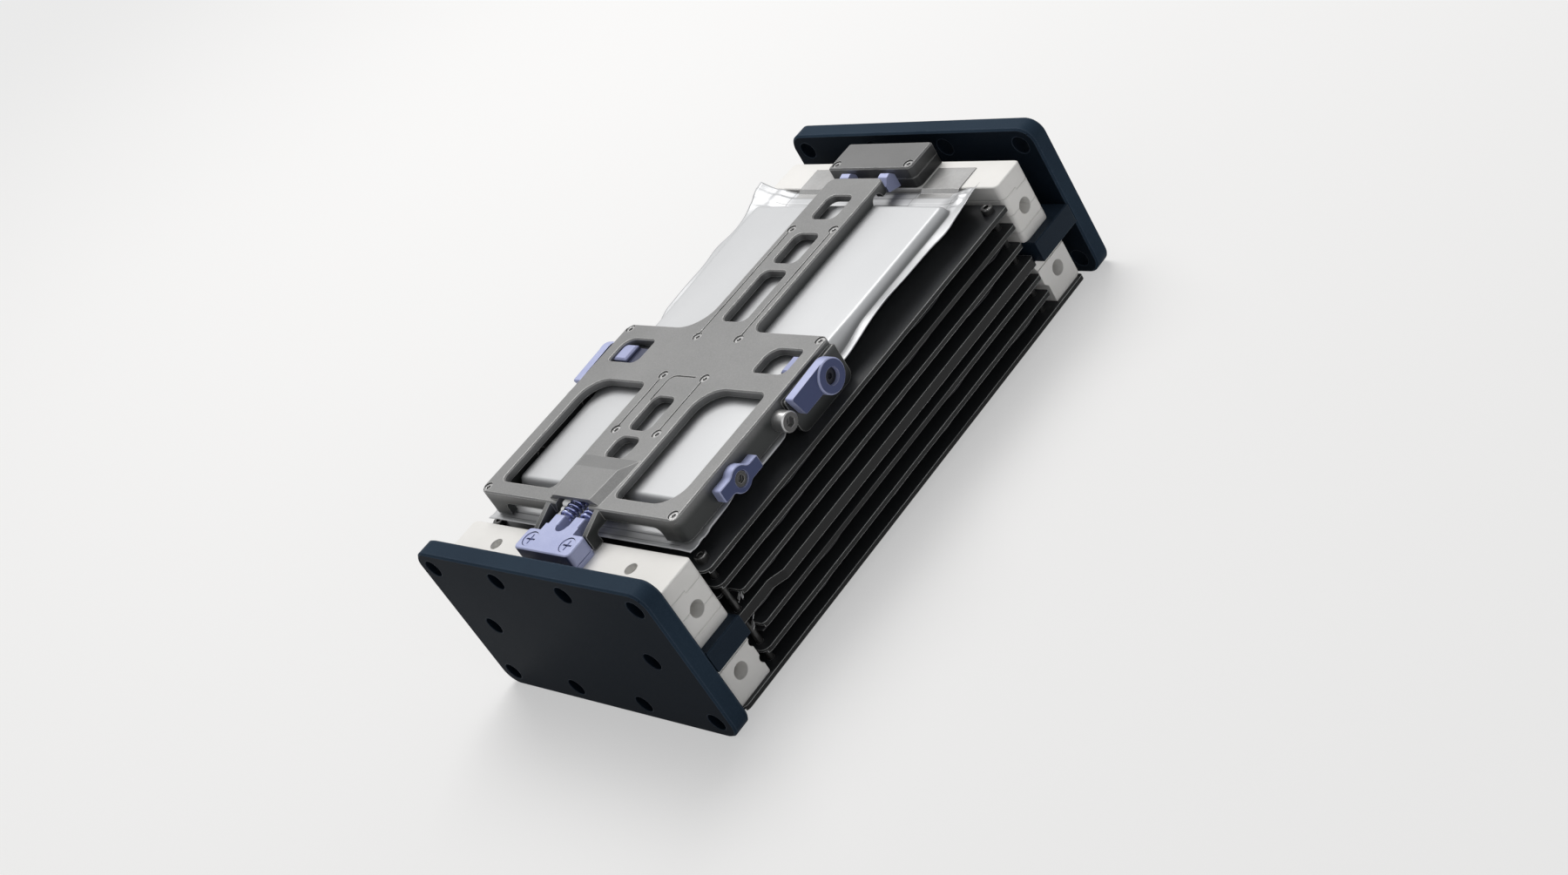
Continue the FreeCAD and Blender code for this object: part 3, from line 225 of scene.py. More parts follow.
# terminal: painted shade on the walls below its top
terminalMetal = satinMetal("terminalMetal", {
    "dark": (0.15, 0.152, 0.154), "light": (0.18, 0.182, 0.184), "fleck": (0.23, 0.23, 0.23),
    "rubbedAndHighlit": (0.5, 0.5, 0.5), "patchScale": 30.0, "grainScale": 1800.0, "edgePatchScale": 90.0,
    "edge": 0.0006, "round": 0.0004, "speck": 0.3, "wearAndHighlight": 0.75, "rough": 0.42, "bump": 0.22,
    "metal": 0.35, "deep": (0.03, 0.031, 0.032), "deepFrom": 0.072, "deepTo": 0.0868})
lavender = {
    "dark": (0.36, 0.40, 0.64), "light": (0.43, 0.47, 0.71), "fleck": (0.52, 0.55, 0.77),
    "rubbedAndHighlit": (0.68, 0.71, 0.9), "patchScale": 60.0, "grainScale": 1500.0, "edgePatchScale": 150.0,
    "edge": 0.0005, "round": 0.0004, "speck": 0.25, "wearAndHighlight": 0.4, "rough": 0.42, "bump": 0.12,
    "metal": 0.1, "gloss": 0.4}
# spring block and hook clips: painted shade, dark navy, on the faces towards the front
lavenderMetal = satinMetal("lavenderMetal", dict(
    lavender, faceAxis=(0.0, -1.0, 0.0), bothFaces=False, paintedShadeColour=(0.045, 0.06, 0.15)))
# levers and wing clips: painted shade, slate blue, on the faces to either side
lavenderLatch = satinMetal("lavenderLatch", dict(
    lavender, faceAxis=(1.0, 0.0, 0.0), bothFaces=True, paintedShadeColour=(0.04, 0.057, 0.155)))
springWire = satinMetal("springWire", {
    "dark": (0.36, 0.40, 0.70), "light": (0.48, 0.52, 0.80), "fleck": (0.6, 0.63, 0.86),
    "rubbedAndHighlit": (0.5, 0.5, 0.7), "patchScale": 120.0, "grainScale": 1500.0, "edgePatchScale": 200.0,
    "edge": 0.0002, "round": 0.0001, "speck": 0.2, "wearAndHighlight": 0.2, "rough": 0.2, "bump": 0.08,
    "metal": 0.75})
steel = {"patchScale": 200.0, "grainScale": 1500.0, "edgePatchScale": 300.0, "edge": 0.0003,
         "speck": 0.3}
# dark steel; edges pale as wear and a painted highlight
screwSteel = satinMetal("screwSteel", dict(steel, **{
    "dark": (0.05, 0.05, 0.05), "light": (0.07, 0.07, 0.07), "fleck": (0.12, 0.12, 0.12),
    "rubbedAndHighlit": (0.7, 0.7, 0.7), "round": 0.0002, "wearAndHighlight": 0.8, "rough": 0.34, "bump": 0.1,
    "metal": 0.8}))
pinSteel = satinMetal("pinSteel", dict(steel, **{
    "dark": (0.010, 0.012, 0.018), "light": (0.016, 0.018, 0.026), "fleck": (0.03, 0.03, 0.04),
    "rubbedAndHighlit": (0.12, 0.13, 0.16), "round": 0.0003, "speck": 0.2, "wearAndHighlight": 0.5, "rough": 0.4,
    "bump": 0.08, "metal": 0.3, "gloss": 0.25}))
brightSteel = satinMetal("brightSteel", dict(steel, **{
    "dark": (0.34, 0.34, 0.34), "light": (0.42, 0.42, 0.42), "fleck": (0.5, 0.5, 0.5),
    "rubbedAndHighlit": (0.85, 0.85, 0.85), "round": 0.0002, "wearAndHighlight": 0.9, "rough": 0.3, "bump": 0.08,
    "metal": 0.8}))
# stop screws: painted shade on the end faces
stopSteel = satinMetal("stopSteel", dict(steel, **{
    "dark": (0.42, 0.42, 0.42), "light": (0.52, 0.52, 0.52), "fleck": (0.6, 0.6, 0.6),
    "rubbedAndHighlit": (0.8, 0.8, 0.8), "round": 0.0003, "wearAndHighlight": 0.5, "rough": 0.3, "bump": 0.08,
    "metal": 0.85, "faceAxis": (1.0, 0.0, 0.0), "bothFaces": True,
    "paintedShadeColour": (0.10, 0.10, 0.10)}))
# pads: painted shade, dark navy, on the step below the top
padPlastic = satinMetal("padPlastic", {
    "dark": (0.31, 0.345, 0.58), "light": (0.37, 0.405, 0.65), "fleck": (0.45, 0.48, 0.7),
    "rubbedAndHighlit": (0.45, 0.46, 0.7), "patchScale": 80.0, "grainScale": 1200.0, "edgePatchScale": 150.0,
    "edge": 0.0005, "round": 0.0005, "speck": 0.2, "wearAndHighlight": 0.4, "rough": 0.5, "bump": 0.15,
    "metal": 0.0, "deep": (0.02, 0.027, 0.07), "deepFrom": 0.0788, "deepTo": 0.0804})
tabMetal = satinMetal("tabMetal", {
    "dark": (0.30, 0.30, 0.30), "light": (0.38, 0.38, 0.38), "fleck": (0.46, 0.46, 0.46),
    "rubbedAndHighlit": (0.8, 0.8, 0.79), "patchScale": 50.0, "grainScale": 900.0, "edgePatchScale": 120.0,
    "edge": 0.0003, "round": 0.0002, "speck": 0.3, "wearAndHighlight": 0.3, "rough": 0.36, "bump": 0.1,
    "metal": 0.7})

ivoryLook = {"cloudScale": 35.0, "cloud": (0.3, 0.7), "grainScale": 1100.0,
             "toolingScale": 240.0, "toolingStretch": (1.0, 0.12, 1.0), "toolingShare": 0.6,
             "edge": 0.0008, "round": 0.0006, "rubbedAndHighlit": (0.88, 0.875, 0.86), "wearAndHighlight": 0.5,
             "bump": 0.22, "bumpDepth": 0.0002, "rough": 0.46, "roughTooling": 0.12, "gloss": 0.4}


# Machined ivory plastic: faint cloudy tone, fine tooling grain, softened edges, a little paler as
# wear and a painted highlight
def ivoryPlastic(name, dark, light, look=ivoryLook):
    net = newMaterial(name)
    stretched = net.scaled(look["toolingStretch"])
    cloud = net.noise(look["cloudScale"], detail=4.0)
    grain = net.noise(look["grainScale"], detail=3.0, roughness=0.6)
    tooling = net.noise(look["toolingScale"], detail=3.0, roughness=0.6, where=stretched)
    colour = net.blend(cloud.between(*look["cloud"]), dark, light)
    # paler edges: wear and a painted highlight
    colour = net.blend(net.edges(look["edge"]) * look["wearAndHighlight"], colour, look["rubbedAndHighlit"])
    relief = grain + look["toolingShare"] * tooling
    normal = net.bump(relief, look["bump"], look["bumpDepth"], net.rounded(look["round"]))
    return net.finish({
        "Base Color": colour, "Roughness": look["rough"] + look["roughTooling"] * (tooling - 0.5),
        "Normal": normal, "Specular IOR Level": look["gloss"]})


trayLook = {"patchScale": 18.0, "patches": (0.3, 0.7), "grainScale": 1400.0, "streakScale": 90.0,
            "streakStretch": (1.0, 0.06, 1.0), "streaks": (0.25, 0.5), "edge": 0.0005,
            "round": 0.0004, "dark": (0.0045, 0.0048, 0.0054), "light": (0.008, 0.0084, 0.009),
            "top": (0.030, 0.032, 0.035), "upward": 0.9, "rubbedAndHighlit": (0.72, 0.74, 0.74),
            "wearAndHighlight": 0.9, "bump": 0.2, "bumpDepth": 0.0002, "rough": 0.33, "roughStreaks": 0.14,
            "metal": 0.1, "gloss": 0.3}


# Satin black coating on thin sheet, paler on top as a painted sheen, paler grey along the folded
# edges as rubbed wear and a painted highlight
def blackTray(name, look):
    net = newMaterial(name)
    stretched = net.scaled(look["streakStretch"])
    patches = net.noise(look["patchScale"], detail=4.0)
    grain = net.noise(look["grainScale"], detail=2.0, roughness=0.6)
    streak = net.noise(look["streakScale"], detail=4.0, roughness=0.6, where=stretched)
    colour = net.blend(patches.between(*look["patches"]), look["dark"], look["light"])
    # painted sheen: upward faces take the paler top colour
    colour = net.blend(net.part(2, net.normal()) > look["upward"], colour, look["top"])
    # folded edges: rubbed wear and a painted highlight
    rubbedAndHighlit = net.edges(look["edge"]) * streak.between(*look["streaks"])
    colour = net.blend(rubbedAndHighlit * look["wearAndHighlight"], colour, look["rubbedAndHighlit"])
    normal = net.bump(grain, look["bump"], look["bumpDepth"], net.rounded(look["round"]))
    return net.finish({
        "Base Color": colour, "Roughness": look["rough"] + look["roughStreaks"] * (streak - 0.5),
        "Metallic": look["metal"], "Normal": normal, "Specular IOR Level": look["gloss"]})


foilLook = {"waveScale": 18.0, "waveStretch": (1.0, 0.3, 1.0), "waves": (0.25, 0.75),
            "filmScale": 900.0, "scuffScale": 160.0, "scuffStretch": (1.0, 0.25, 1.0),
            "scuffs": (0.58, 0.72), "shaded": 0.22, "waveBump": 1.2, "filmBump": 0.12,
            "scuffBump": 0.06, "bump": 0.1, "bumpDepth": 0.001, "roughFilm": 0.10,
            "roughScuff": 0.08, "metal": 0.35}


# Aluminium laminate: matt film, long soft waves, a faint grain and a few shallow scuffs; dark
# where the mesh's shade attribute says so, and along the pressed seams
def laminateFoil(name, dark, light, rough, seams=None, look=foilLook):
    net = newMaterial(name)
    long, drawn = net.scaled(look["waveStretch"]), net.scaled(look["scuffStretch"])
    wave = net.noise(look["waveScale"], detail=2.0, roughness=0.4, where=long)
    film = net.noise(look["filmScale"], detail=3.0, roughness=0.6)
    scuff = net.noise(look["scuffScale"], detail=5.0, roughness=0.6, where=drawn)
    scuff = scuff.between(*look["scuffs"])
    colour = net.blend(wave.between(*look["waves"]), dark, light)
    shade = net.make("Attribute", {"attribute_name": "shade"}, out="Fac")
    if seams:
        along, across = net.part(1), net.part(0).absolute()
        behind, ahead = along > seams["from"], along < -seams["from"]
        within = across < seams["half"]
        atRear, atFront = behind * within, ahead * within
        lines = [(along, place, atRear) for place in seams["rear"]]
        lines += [(along, place, atFront) for place in seams["front"]]
        lines += [(across, place, behind) for place in seams["strip"]]
        for value, place, beyond in lines:
            line = net.stripe(value, place, seams["width"], seams["flat"])
            shade = shade + line * beyond * seams["depth"]
        shade = shade.clamped()
    colour = net.blend(shade, colour, [look["shaded"] * c for c in dark])
    relief = wave * look["waveBump"] + look["filmBump"] * film + look["scuffBump"] * scuff
    roughness = rough + look["roughFilm"] * (film - 0.5) + look["roughScuff"] * scuff
    return net.finish({"Base Color": colour, "Roughness": roughness, "Metallic": look["metal"],
                       "Normal": net.bump(relief, look["bump"], look["bumpDepth"])})


ivory = ivoryPlastic("ivoryPlastic", (0.82, 0.812, 0.79), (0.87, 0.863, 0.845))
ivoryPlug = ivoryPlastic("ivoryPlug", (0.60, 0.59, 0.56), (0.67, 0.66, 0.63))
tray = blackTray("blackTray", trayLook)
laminate = laminateFoil("laminate", (0.49, 0.50, 0.515), (0.55, 0.56, 0.575), 0.42, {
    "from": 0.0902, "half": 0.0575, "width": 0.00035, "flat": 0.3, "depth": 0.62,
    "strip": [0.0257, 0.0513], "rear": [0.0923, 0.0962, 0.1009, 0.1043],
    "front": [-0.0969, -0.1004, -0.1039, -0.1070]})
# inner cells: the laminate in a dark copy, painted shade for the gaps between the trays
shadedInnerFoil = laminateFoil("shadedInnerFoil", (0.05, 0.05, 0.055), (0.09, 0.09, 0.095), 0.42)
# torn foil ends: silver, brightened further as painted light where they hang in shade
brightFoil = laminateFoil("brightFoil", (0.78, 0.79, 0.80), (0.88, 0.89, 0.90), 0.34)

# each finish, and how the names of the nodes that wear it begin
finishes = {
    navyPlate: ("end_plate",), navyBar: ("front_spacer", "rear_spacer"),
    ivory: ("front_block", "rear_block", "front_lower", "rear_lower"),
    tray: ("cell_tray", "base_tray"), laminate: ("top_cell",), shadedInnerFoil: ("inner_cell",),
    frameMetal: ("clamp_frame",), terminalMetal: ("terminal_base", "terminal_cover"),
    lavenderMetal: ("spring_block", "hook_clips"), lavenderLatch: ("latch_lever", "wing_clip"),
    springWire: ("spring_right", "spring_left"), padPlastic: ("clamp_pad",), tabMetal: ("tab_",),
    ivoryPlug: ("column_bolts",), brightSteel: ("frame_screws", "terminal_screws"),
    screwSteel: ("stack_bolts", "plate_screws", "clip_screws"), pinSteel: ("lever_pins",),
    stopSteel: ("stop_screws",),
}
for finish, starts in finishes.items():
    for name, node in nodes.items():
        if name.startswith(starts):
            node.data.materials.clear()
            node.data.materials.append(finish)
print("finishes on the frame's nodes")


# Smooth step: 0 at low, 1 at high, either way round
def smooth(low, high, value):
    t = np.clip((value - low) / (high - low), 0.0, 1.0)
    return t * t * (3.0 - 2.0 * t)


# Bell curve: e to the minus square of the way from the centre in widths
def hump(centre, width, value):
    return np.exp(-((value - centre) / width) ** 2)


# Sum of sine waves, each with its height, start and length
def ripple(value, waves):
    return sum(height * np.sin((value - start) / length) for height, start, length in waves)


# Sum of smooth steps, each with its height, foot and head
def stairs(value, steps):
    return sum(height * smooth(foot, head, value) for height, foot, head in steps)


# Creases: sum of folded triangle waves running in several directions across the sheet
def crumple(x, y, sizes, angles, seed):
    shift = np.random.default_rng(seed).random(len(sizes))
    total = 0.0
    for size, angle, offset in zip(sizes, angles, shift):
        along = (x * math.cos(angle) + y * math.sin(angle)) / size + offset
        total = total + np.abs(along - np.floor(along) - 0.5) * 2.0 - 0.5
    return total / len(sizes)


# Way inside a rounded rectangle: corner radius less the length of the overshoot
def insideRectangle(x, y, look):
    front, rear, corner = look["front"], look["rear"], look["corner"]
    overX = np.abs(x) - (look["half"] - corner)
    overY = np.abs(y - (front + rear) / 2.0) - ((rear - front) / 2.0 - corner)
    outside = np.hypot(np.maximum(overX, 0.0), np.maximum(overY, 0.0))
    return corner - outside - np.minimum(np.maximum(overX, overY), 0.0)


# Rise of a bulging wall: 1-(1-d/slope)^power, with d the way inside
def bulge(inside, slope, power):
    return 1.0 - (1.0 - np.clip(inside / slope, 0.0, 1.0)) ** power


# Grid stops: even over the seal, crowded towards the edge over the body's first few millimetres,
# wide apart in the middle
def gridStops(low, high, edgeLow, edgeHigh, rim, slope, coarse):
    reach, crowding = 5.0, 1.5
    t = np.linspace(0.0, 1.0, slope) ** crowding
    parts = [np.linspace(low, edgeLow, rim)[:-1], edgeLow + reach * t,
             np.linspace(edgeLow + reach, edgeHigh - reach, coarse)[1:-1],
             (edgeHigh - reach * t)[::-1], np.linspace(edgeHigh, high, rim)[1:]]
    return np.concatenate(parts)


# x and y over the whole pouch; gridX and gridY count the stops on seal, edge and middle
def pouchGrid(look):
    seal, half = look["sealHalf"], look["half"]
    stopsX = gridStops(-seal, seal, -half, half, *look["gridX"])
    stopsY = gridStops(look["sealFront"], look["sealRear"], look["front"], look["rear"],
                       *look["gridY"])
    return np.meshgrid(stopsX, stopsY, indexing="ij")


# A smooth mesh from arrays of corners, in millimetres, and of faces
def surfacePiece(name, vertices, faces, finish):
    mesh = bpy.data.meshes.new(name)
    mesh.from_pydata((vertices * mm).tolist(), [], faces.tolist())
    mesh.polygons.foreach_set("use_smooth", np.ones(len(faces), dtype=bool))
    mesh.materials.append(finish)
    piece = bpy.data.objects.new(name, mesh)
    bpy.context.scene.collection.objects.link(piece)
    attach(piece, "stack")
    return piece


# Two sheets over one grid, stitched along the rim so that the pouch is closed
def twoSheets(name, x, y, upper, lower, finish, shade=None):
    rows, columns = x.shape
    count = rows * columns
    top = np.stack([x, y, upper], axis=-1).reshape(-1, 3)
    under = np.stack([x, y, lower], axis=-1).reshape(-1, 3)
    index = np.arange(count).reshape(rows, columns)
    a, b = index[:-1, :-1].ravel(), index[1:, :-1].ravel()
    c, d = index[1:, 1:].ravel(), index[:-1, 1:].ravel()
    faces = [np.stack([a, b, c, d], axis=1), np.stack([a, d, c, b], axis=1) + count]
    loop = np.concatenate([index[:, 0], index[-1, 1:], index[-2::-1, -1], index[0, -2:0:-1]])
    following = np.roll(loop, -1)
    faces.append(np.stack([loop, loop + count, following + count, following], axis=1))
    vertices = np.concatenate([top, under])
    piece = surfacePiece(name, vertices, np.concatenate(faces), finish)
    if shade is not None:
        values = np.concatenate([shade.ravel(), shade.ravel()]).astype(np.float32)
        piece.data.attributes.new("shade", "FLOAT", "POINT").data.foreach_set("value", values)
    return piece


# in millimetres: a wave is height, start and length, a bulge height, centre and width, a band
# height, foot and head, and a fold height, then centre and width across and along
topPouch = {
    # body, its crown and its underside
    "half": 58.7, "front": -93.3, "rear": 89.8, "corner": 4.5, "top": 76.2, "floor": 61.76,
    "slope": 3.9, "round": 2.6, "taper": 12.0, "taperRound": 1.5, "sag": 0.5, "sagPower": 4.0,
    "cloud": 0.06, "cloudX": 9.0, "cloudY": 21.0, "leftSkew": 3.4, "skewed": (0.0, 90.0),
    # seal round it, raised at the sides behind the frame
    "seal": 68.85, "film": 0.2, "thinnest": 0.15, "sealHalf": 62.4, "sealFront": -109.2,
    "sealRear": 105.0, "behind": (2.0, 22.0), "aside": (47.0, 58.0), "wavePower": 1.3,
    "droop": -0.4, "droopWaves": [(0.3, 0.0, 7.0)], "tipped": (82.0, 105.0), "tipPower": 1.4,
    "creases": ((5.0, 8.0, 3.5), (0.3, 1.2, 2.2), 3),
    # sideways growth of the flange ahead of the lugs, none at the wing clips
    "beside": (-40.0, -46.0), "grow": 2.7, "growWaves": [(0.3, 0.0, 6.1), (0.12, 0.0, 2.9)],
    "clip": (-73.5, 5.6), "flared": (74.0, 104.0),
    "right": {"root": 2.7, "tip": 2.6, "crease": 0.1, "grow": 0.7, "flare": 0.0,
              "bulges": [(1.3, 77.0, 7.0), (1.2, 104.0, 7.0)], "growWaves": [(0.2, 0.0, 6.5)],
              "waves": [(0.45, 20.0, 10.5), (0.12, 0.0, 4.1)]},
    "left": {"root": 2.9, "tip": 4.2, "crease": 0.01, "grow": 2.2, "flare": 3.3,
             "bulges": [(1.5, 63.0, 8.0)], "growWaves": [(0.2, 0.0, 7.5)],
             "waves": [(0.4, 12.0, 12.5), (0.1, 0.0, 4.4)]},
    # pressed bands, strips over the tabs and crumpled folds
    "rearBands": [(-0.3, 92.0, 92.6), (0.25, 96.0, 96.5), (-0.3, 100.6, 101.2)],
    "frontBands": [(-0.5, -96.6, -97.2), (0.4, -100.2, -100.7), (-0.45, -103.6, -104.1),
                   (0.3, -106.8, -107.3)],
    "bandEdge": 1.0, "strip": 0.35, "stripInner": (25.4, 26.0), "stripOuter": (51.6, 51.0),
    "stripFrom": (0.6, 1.2), "folds": [(2.2, 54.5, 4.0, 98.5, 5.5), (0.1, -56.0, 4.0, 99.0, 5.0)],
    "foldLift": 0.35, "foldUnder": 0.6, "foldCreases": ((6.0, 4.0, 7.5), (0.7, 1.9, 2.7), 8),
    "rootShade": 0.75, "rootLine": (0.2, 0.7), "gridX": (9, 14, 46), "gridY": (22, 14, 130)}


# Upper sheet: seal height plus the body's height times the bulge of its wall; lower sheet: the same
# downwards, tapering further in; the flange waves and grows outwards, the rear corners turn up
def makeTopPouch(look):
    half, front, rear, film = look["half"], look["front"], look["rear"], look["film"]
    x, y = pouchGrid(look)
    away = np.abs(x)
    inside = insideRectangle(x, y, look)
    out = np.clip(away - half, 0.0, None) / (look["sealHalf"] - half)
    behind = smooth(*look["behind"], y)

    # the right side's measure where x is positive, the left side's elsewhere
    def bySide(measure):
        return np.where(x > 0.0, measure(look["right"]), measure(look["left"]))

    def growth(side):
        bulges = sum(height * hump(centre, width, y) for height, centre, width in side["bulges"])
        flare = side["flare"] * smooth(*look["flared"], y)
        return side["grow"] + bulges + ripple(y, side["growWaves"]) + flare

    beside = smooth(*look["beside"], y) * (look["grow"] + ripple(y, look["growWaves"]))
    grow = beside * (1.0 - hump(*look["clip"], y)) + behind * bySide(growth)
    skew = look["leftSkew"] * smooth(*look["skewed"], y) * np.clip(-x / half, 0.0, 1.0)
    wideX = x + np.sign(x) * grow * out - skew

    root = behind * bySide(lambda side: side["root"]) * smooth(*look["aside"], away)
    droop = (1.0 - behind) * (look["droop"] + ripple(y, look["droopWaves"]))
    wave = behind * bySide(lambda side: ripple(y, side["waves"])) + droop
    tip = (smooth(*look["tipped"], y) * out) ** look["tipPower"] * bySide(lambda side: side["tip"])
    seal = look["seal"] + root + wave * out ** look["wavePower"] + tip
    seal = seal + bySide(lambda side: side["crease"]) * out * crumple(wideX, y, *look["creases"])

    edge = look["bandEdge"]
    strip = look["strip"] * smooth(*look["stripInner"], away) * smooth(*look["stripOuter"], away)
    strip = strip * smooth(*look["stripFrom"], y - rear)
    pressed = smooth(rear - edge, rear + edge, y) * (stairs(y, look["rearBands"]) + strip)
    pressed = pressed + smooth(front + edge, front - edge, y) * stairs(y, look["frontBands"])
    folds = sum(height * hump(placeX, widthX, x) * hump(placeY, widthY, y)
                for height, placeX, widthX, placeY, widthY in look["folds"])
    creased = folds * (look["foldLift"] + crumple(x, y, *look["foldCreases"]))

    body = look["top"] - look["sag"] * (away / half) ** look["sagPower"]
    body = body + look["cloud"] * np.sin(x / look["cloudX"]) * np.sin(y / look["cloudY"])
    rise = bulge(inside, look["slope"], look["round"])
    drop = bulge(inside, look["taper"], look["taperRound"])
    upper = seal + film + (body - seal) * rise + pressed + creased
    lower = seal - film - (seal - look["floor"]) * drop + look["foldUnder"] * creased
    lower = np.minimum(lower, upper - look["thinnest"])
    shade = look["rootShade"] * hump(*look["rootLine"], inside)
    piece = twoSheets("topPouch", wideX, y, upper, lower, laminate, shade)
    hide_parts("top_cell")


makeTopPouch(topPouch)

# in millimetres: a wave is height, turns of the cell's phase and length
innerPouch = {
    "half": 58.4, "sealHalf": 68.2, "front": -99.3, "rear": 93.6, "sealFront": -104.0,
    "sealRear": 98.3, "corner": 4.0, "film": 0.18, "slope": 3.5, "round": 2.4, "clearance": 0.05,
    "phase": 1.7, "waves": [(0.55, 1.0, 13.0), (0.3, 2.0, 5.3), (0.15, 0.0, 2.1)], "wavePower": 1.5,
    "inset": 0.7, "insetLength": 8.0, "crease": 0.2, "creases": ((4.0, 6.5), (0.4, 1.4)),
    "gridX": (10, 5, 12), "gridY": (7, 5, 80)}


# Same two sheets between trays: body heights from the node's box, the rim waves up and down and in
def makeInnerPouch(number, look):
    node = "inner_cell_%d" % number
    low, high = [np.array(c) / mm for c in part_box(node)]
    film, phase = look["film"], look["phase"] * number
    x, y = pouchGrid(look)
    out = np.clip(np.abs(x) - look["half"], 0.0, None) / (look["sealHalf"] - look["half"])
    wave = sum(height * np.sin(y / length + turns * phase)
               for height, turns, length in look["waves"])
    inset = look["inset"] * (np.sin(y / look["insetLength"] + phase) - 1.0)
    creased = look["crease"] * out * crumple(x, y, *look["creases"], number)
    seal = (low[2] + high[2]) / 2.0 + wave * out ** look["wavePower"] + creased
    tall = (high[2] - low[2]) / 2.0 - film - look["clearance"]
    rise = tall * bulge(insideRectangle(x, y, look), look["slope"], look["round"])
    piece = twoSheets("innerPouch%d" % number, x + np.sign(x) * inset * out, y, seal + film + rise,
                      seal - film - rise, shadedInnerFoil)
    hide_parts(node)


for number in range(1, 7):
    makeInnerPouch(number, innerPouch)
print("pouches made")

foilBits = [
    {"name": "foilTongueUpper", "start": (66.0, -101.5, 40.2), "end": (68.8, -105.8, 39.0),
     "width": 3.2, "seed": 4},
    {"name": "foilCurlUpper", "start": (67.0, -101.0, 40.5), "end": (70.2, -104.6, 39.4),
     "width": 2.6, "seed": 6},
    {"name": "foilTongueLower", "start": (66.2, -102.5, 28.0), "end": (69.8, -108.0, 25.8),
     "width": 3.4, "seed": 9}]
foilShape = {"grid": (26, 12), "taper": 0.5, "flutter": 0.2, "flutterRate": 17.0, "leanX": 0.35,
             "leanY": 0.1, "leanZ": 0.42, "sway": 0.4, "swayRate": 9.0, "long": 10.0, "wide": 3.0,
             "lift": 0.5, "liftCreases": ((3.0, 4.5, 2.2), (0.4, 1.3, 2.4)), "shift": 0.35,
             "shiftCreases": ((2.6, 3.7), (0.9, 2.0)), "thickness": 0.2}


# Torn foil at the sealed edge: a tapering ribbon along its path, folded across by triangle waves
def makeFoilBit(bit, look):
    start, end = np.array(bit["start"]), np.array(bit["end"])
    stops = [np.linspace(0.0, 1.0, look["grid"][0]), np.linspace(-1.0, 1.0, look["grid"][1])]
    along, across = np.meshgrid(*stops, indexing="ij")
    path = start + (end - start) * along[..., None]
    flutter = 1.0 + look["flutter"] * np.sin(along * look["flutterRate"] + bit["seed"])
    width = bit["width"] * (1.0 - look["taper"] * along ** 2) * flutter
    sway = look["sway"] * np.sin(along * look["swayRate"])
    x = path[..., 0] + look["leanX"] * width * across + sway
    y = path[..., 1] + look["leanY"] * width * across
    z = path[..., 2] + look["leanZ"] * width * across
    folded = [along * look["long"], across * look["wide"]]
    z = z + look["lift"] * crumple(*folded, *look["liftCreases"], bit["seed"])
    x = x + look["shift"] * crumple(*folded, *look["shiftCreases"], bit["seed"] + 1)
    twoSheets(bit["name"], x, y, z, z - look["thickness"], brightFoil)


for bit in foilBits:
    makeFoilBit(bit, foilShape)
print("foil ends made")

# camera at the photograph's viewing angle, its place in metres and its own three axes
view = {"place": (0.714093, -0.452893, 0.520477), "right": (0.67956043, 0.56656328, -0.46605115),
        "up": (-0.07450201, 0.68528899, 0.72445045), "back": (0.72982674, -0.45758611, 0.50790538),
        "lens": 52.124, "sensor": 36.0, "near": 0.01, "far": 50.0}
camera = bpy.data.objects.new("camera", bpy.data.cameras.new("camera"))
camera.data.lens, camera.data.sensor_width = view["lens"], view["sensor"]
camera.data.sensor_fit = "HORIZONTAL"
camera.data.clip_start, camera.data.clip_end = view["near"], view["far"]
turn = Matrix([view["right"], view["up"], view["back"]]).transposed()
camera.matrix_world = Matrix.Translation(view["place"]) @ turn.to_4x4()
bpy.context.scene.collection.objects.link(camera)
bpy.context.scene.camera = camera

# soft key light from behind on the left, two weak ones from the right and the front
lamps = {
    "key": {"place": (-0.55, 0.55, 1.45), "size": 1.1, "watts": 23.0,
            "colour": (1.0, 0.985, 0.965)},
    "fill": {"place": (1.5, -0.5, 0.75), "size": 1.2, "watts": 2.6,
             "colour": (0.97, 0.98, 1.0)},
    "front": {"place": (0.2, -1.7, 0.6), "size": 1.2, "watts": 0.8,
              "colour": (0.97, 0.98, 1.0)}}
lampAim = Vector((0.0, 0.0, 0.04))
for name, lamp in lamps.items():
    light = bpy.data.lights.new(name, "AREA")
    light.size, light.energy, light.color = lamp["size"], lamp["watts"], lamp["colour"]
    holder = bpy.data.objects.new(name, light)
    holder.location = lamp["place"]
    aim = lampAim - Vector(lamp["place"])
    holder.rotation_euler = aim.to_track_quat("-Z", "Y").to_euler()
    bpy.context.scene.collection.objects.link(holder)

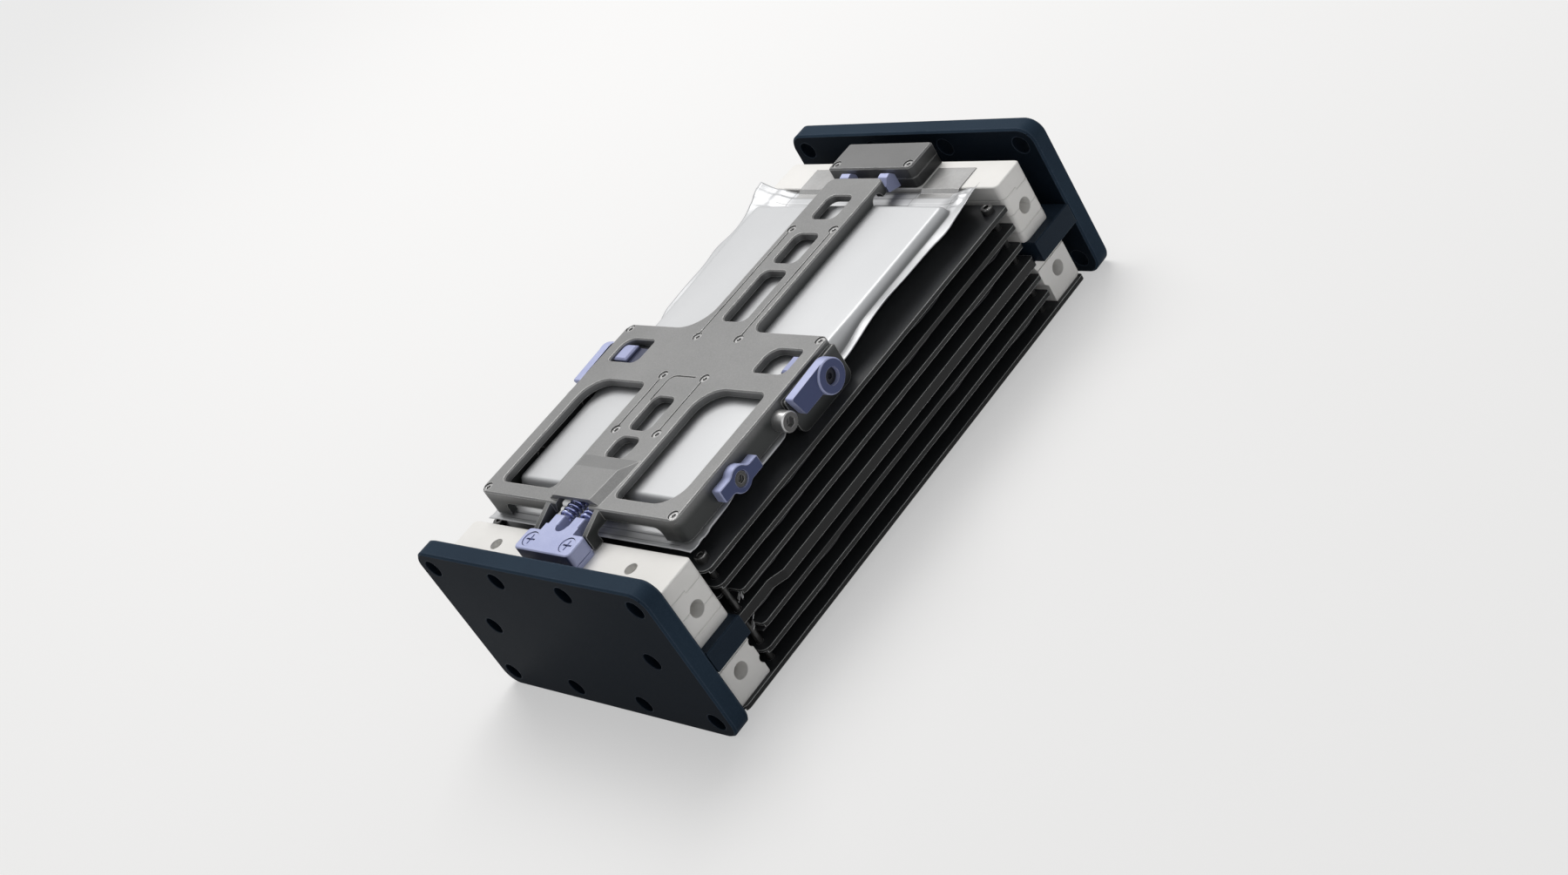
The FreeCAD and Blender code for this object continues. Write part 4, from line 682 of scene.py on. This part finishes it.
studio = {"colour": (0.8, 0.8, 0.8), "dim": 0.3, "full": 1.0}


# World: full strength to the camera and to glossy and transmission rays, dim as light
def makeWorld(look):
    world = bpy.data.worlds.new("studio")
    net = Net(world)
    seen = net.make("LightPath", out="Is Camera Ray")
    mirrored = net.make("LightPath", out="Is Glossy Ray")
    through = net.make("LightPath", out="Is Transmission Ray")
    white = (seen + (mirrored + through).clamped()).clamped()
    strength = look["dim"] + (look["full"] - look["dim"]) * white
    back = net.make("Background", None, {"Color": look["colour"], "Strength": strength})
    net.close(back, "OutputWorld")
    bpy.context.scene.world = world


paleFloor = {"half": 6.0, "cloudScale": 1.5, "dark": (0.80, 0.80, 0.80),
             "light": (0.83, 0.83, 0.83), "glow": (1.0, 1.0, 1.0), "near": 0.5, "far": 2.5,
             "seen": 0.45, "seenFar": 0.35, "mirrored": 0.35}


# Flat square at height zero: part lit, part white to the lens, and whiter further away
def makeFloor(look):
    half = look["half"]
    mesh = bpy.data.meshes.new("floor")
    corners = [(-half, -half, 0.0), (half, -half, 0.0), (half, half, 0.0), (-half, half, 0.0)]
    mesh.from_pydata(corners, [], [(0, 1, 2, 3)])
    floor = bpy.data.objects.new("floor", mesh)
    bpy.context.scene.collection.objects.link(floor)
    net = newMaterial("paleFloor")
    seen = net.make("LightPath", out="Is Camera Ray")
    mirrored = net.make("LightPath", out="Is Glossy Ray")
    clouds = net.noise(look["cloudScale"], detail=2.0)
    lit = net.make("BsdfDiffuse", None, {"Color": net.blend(clouds, look["dark"], look["light"])})
    glow = net.make("Emission", None, {"Color": look["glow"], "Strength": 1.0})
    distance = net.make("VectorMath", {"operation": "LENGTH"}, {0: net.place()}, out="Value")
    away = distance.between(look["near"], look["far"])
    share = (look["seen"] + look["seenFar"] * away) * seen + look["mirrored"] * mirrored
    net.close(net.make("MixShader", None, {0: share.clamped(), 1: lit, 2: glow}))
    mesh.materials.append(net.owner)


makeWorld(studio)
makeFloor(paleFloor)
bpy.context.scene.view_settings.view_transform = "Standard"
print("camera, lamps, world and floor")
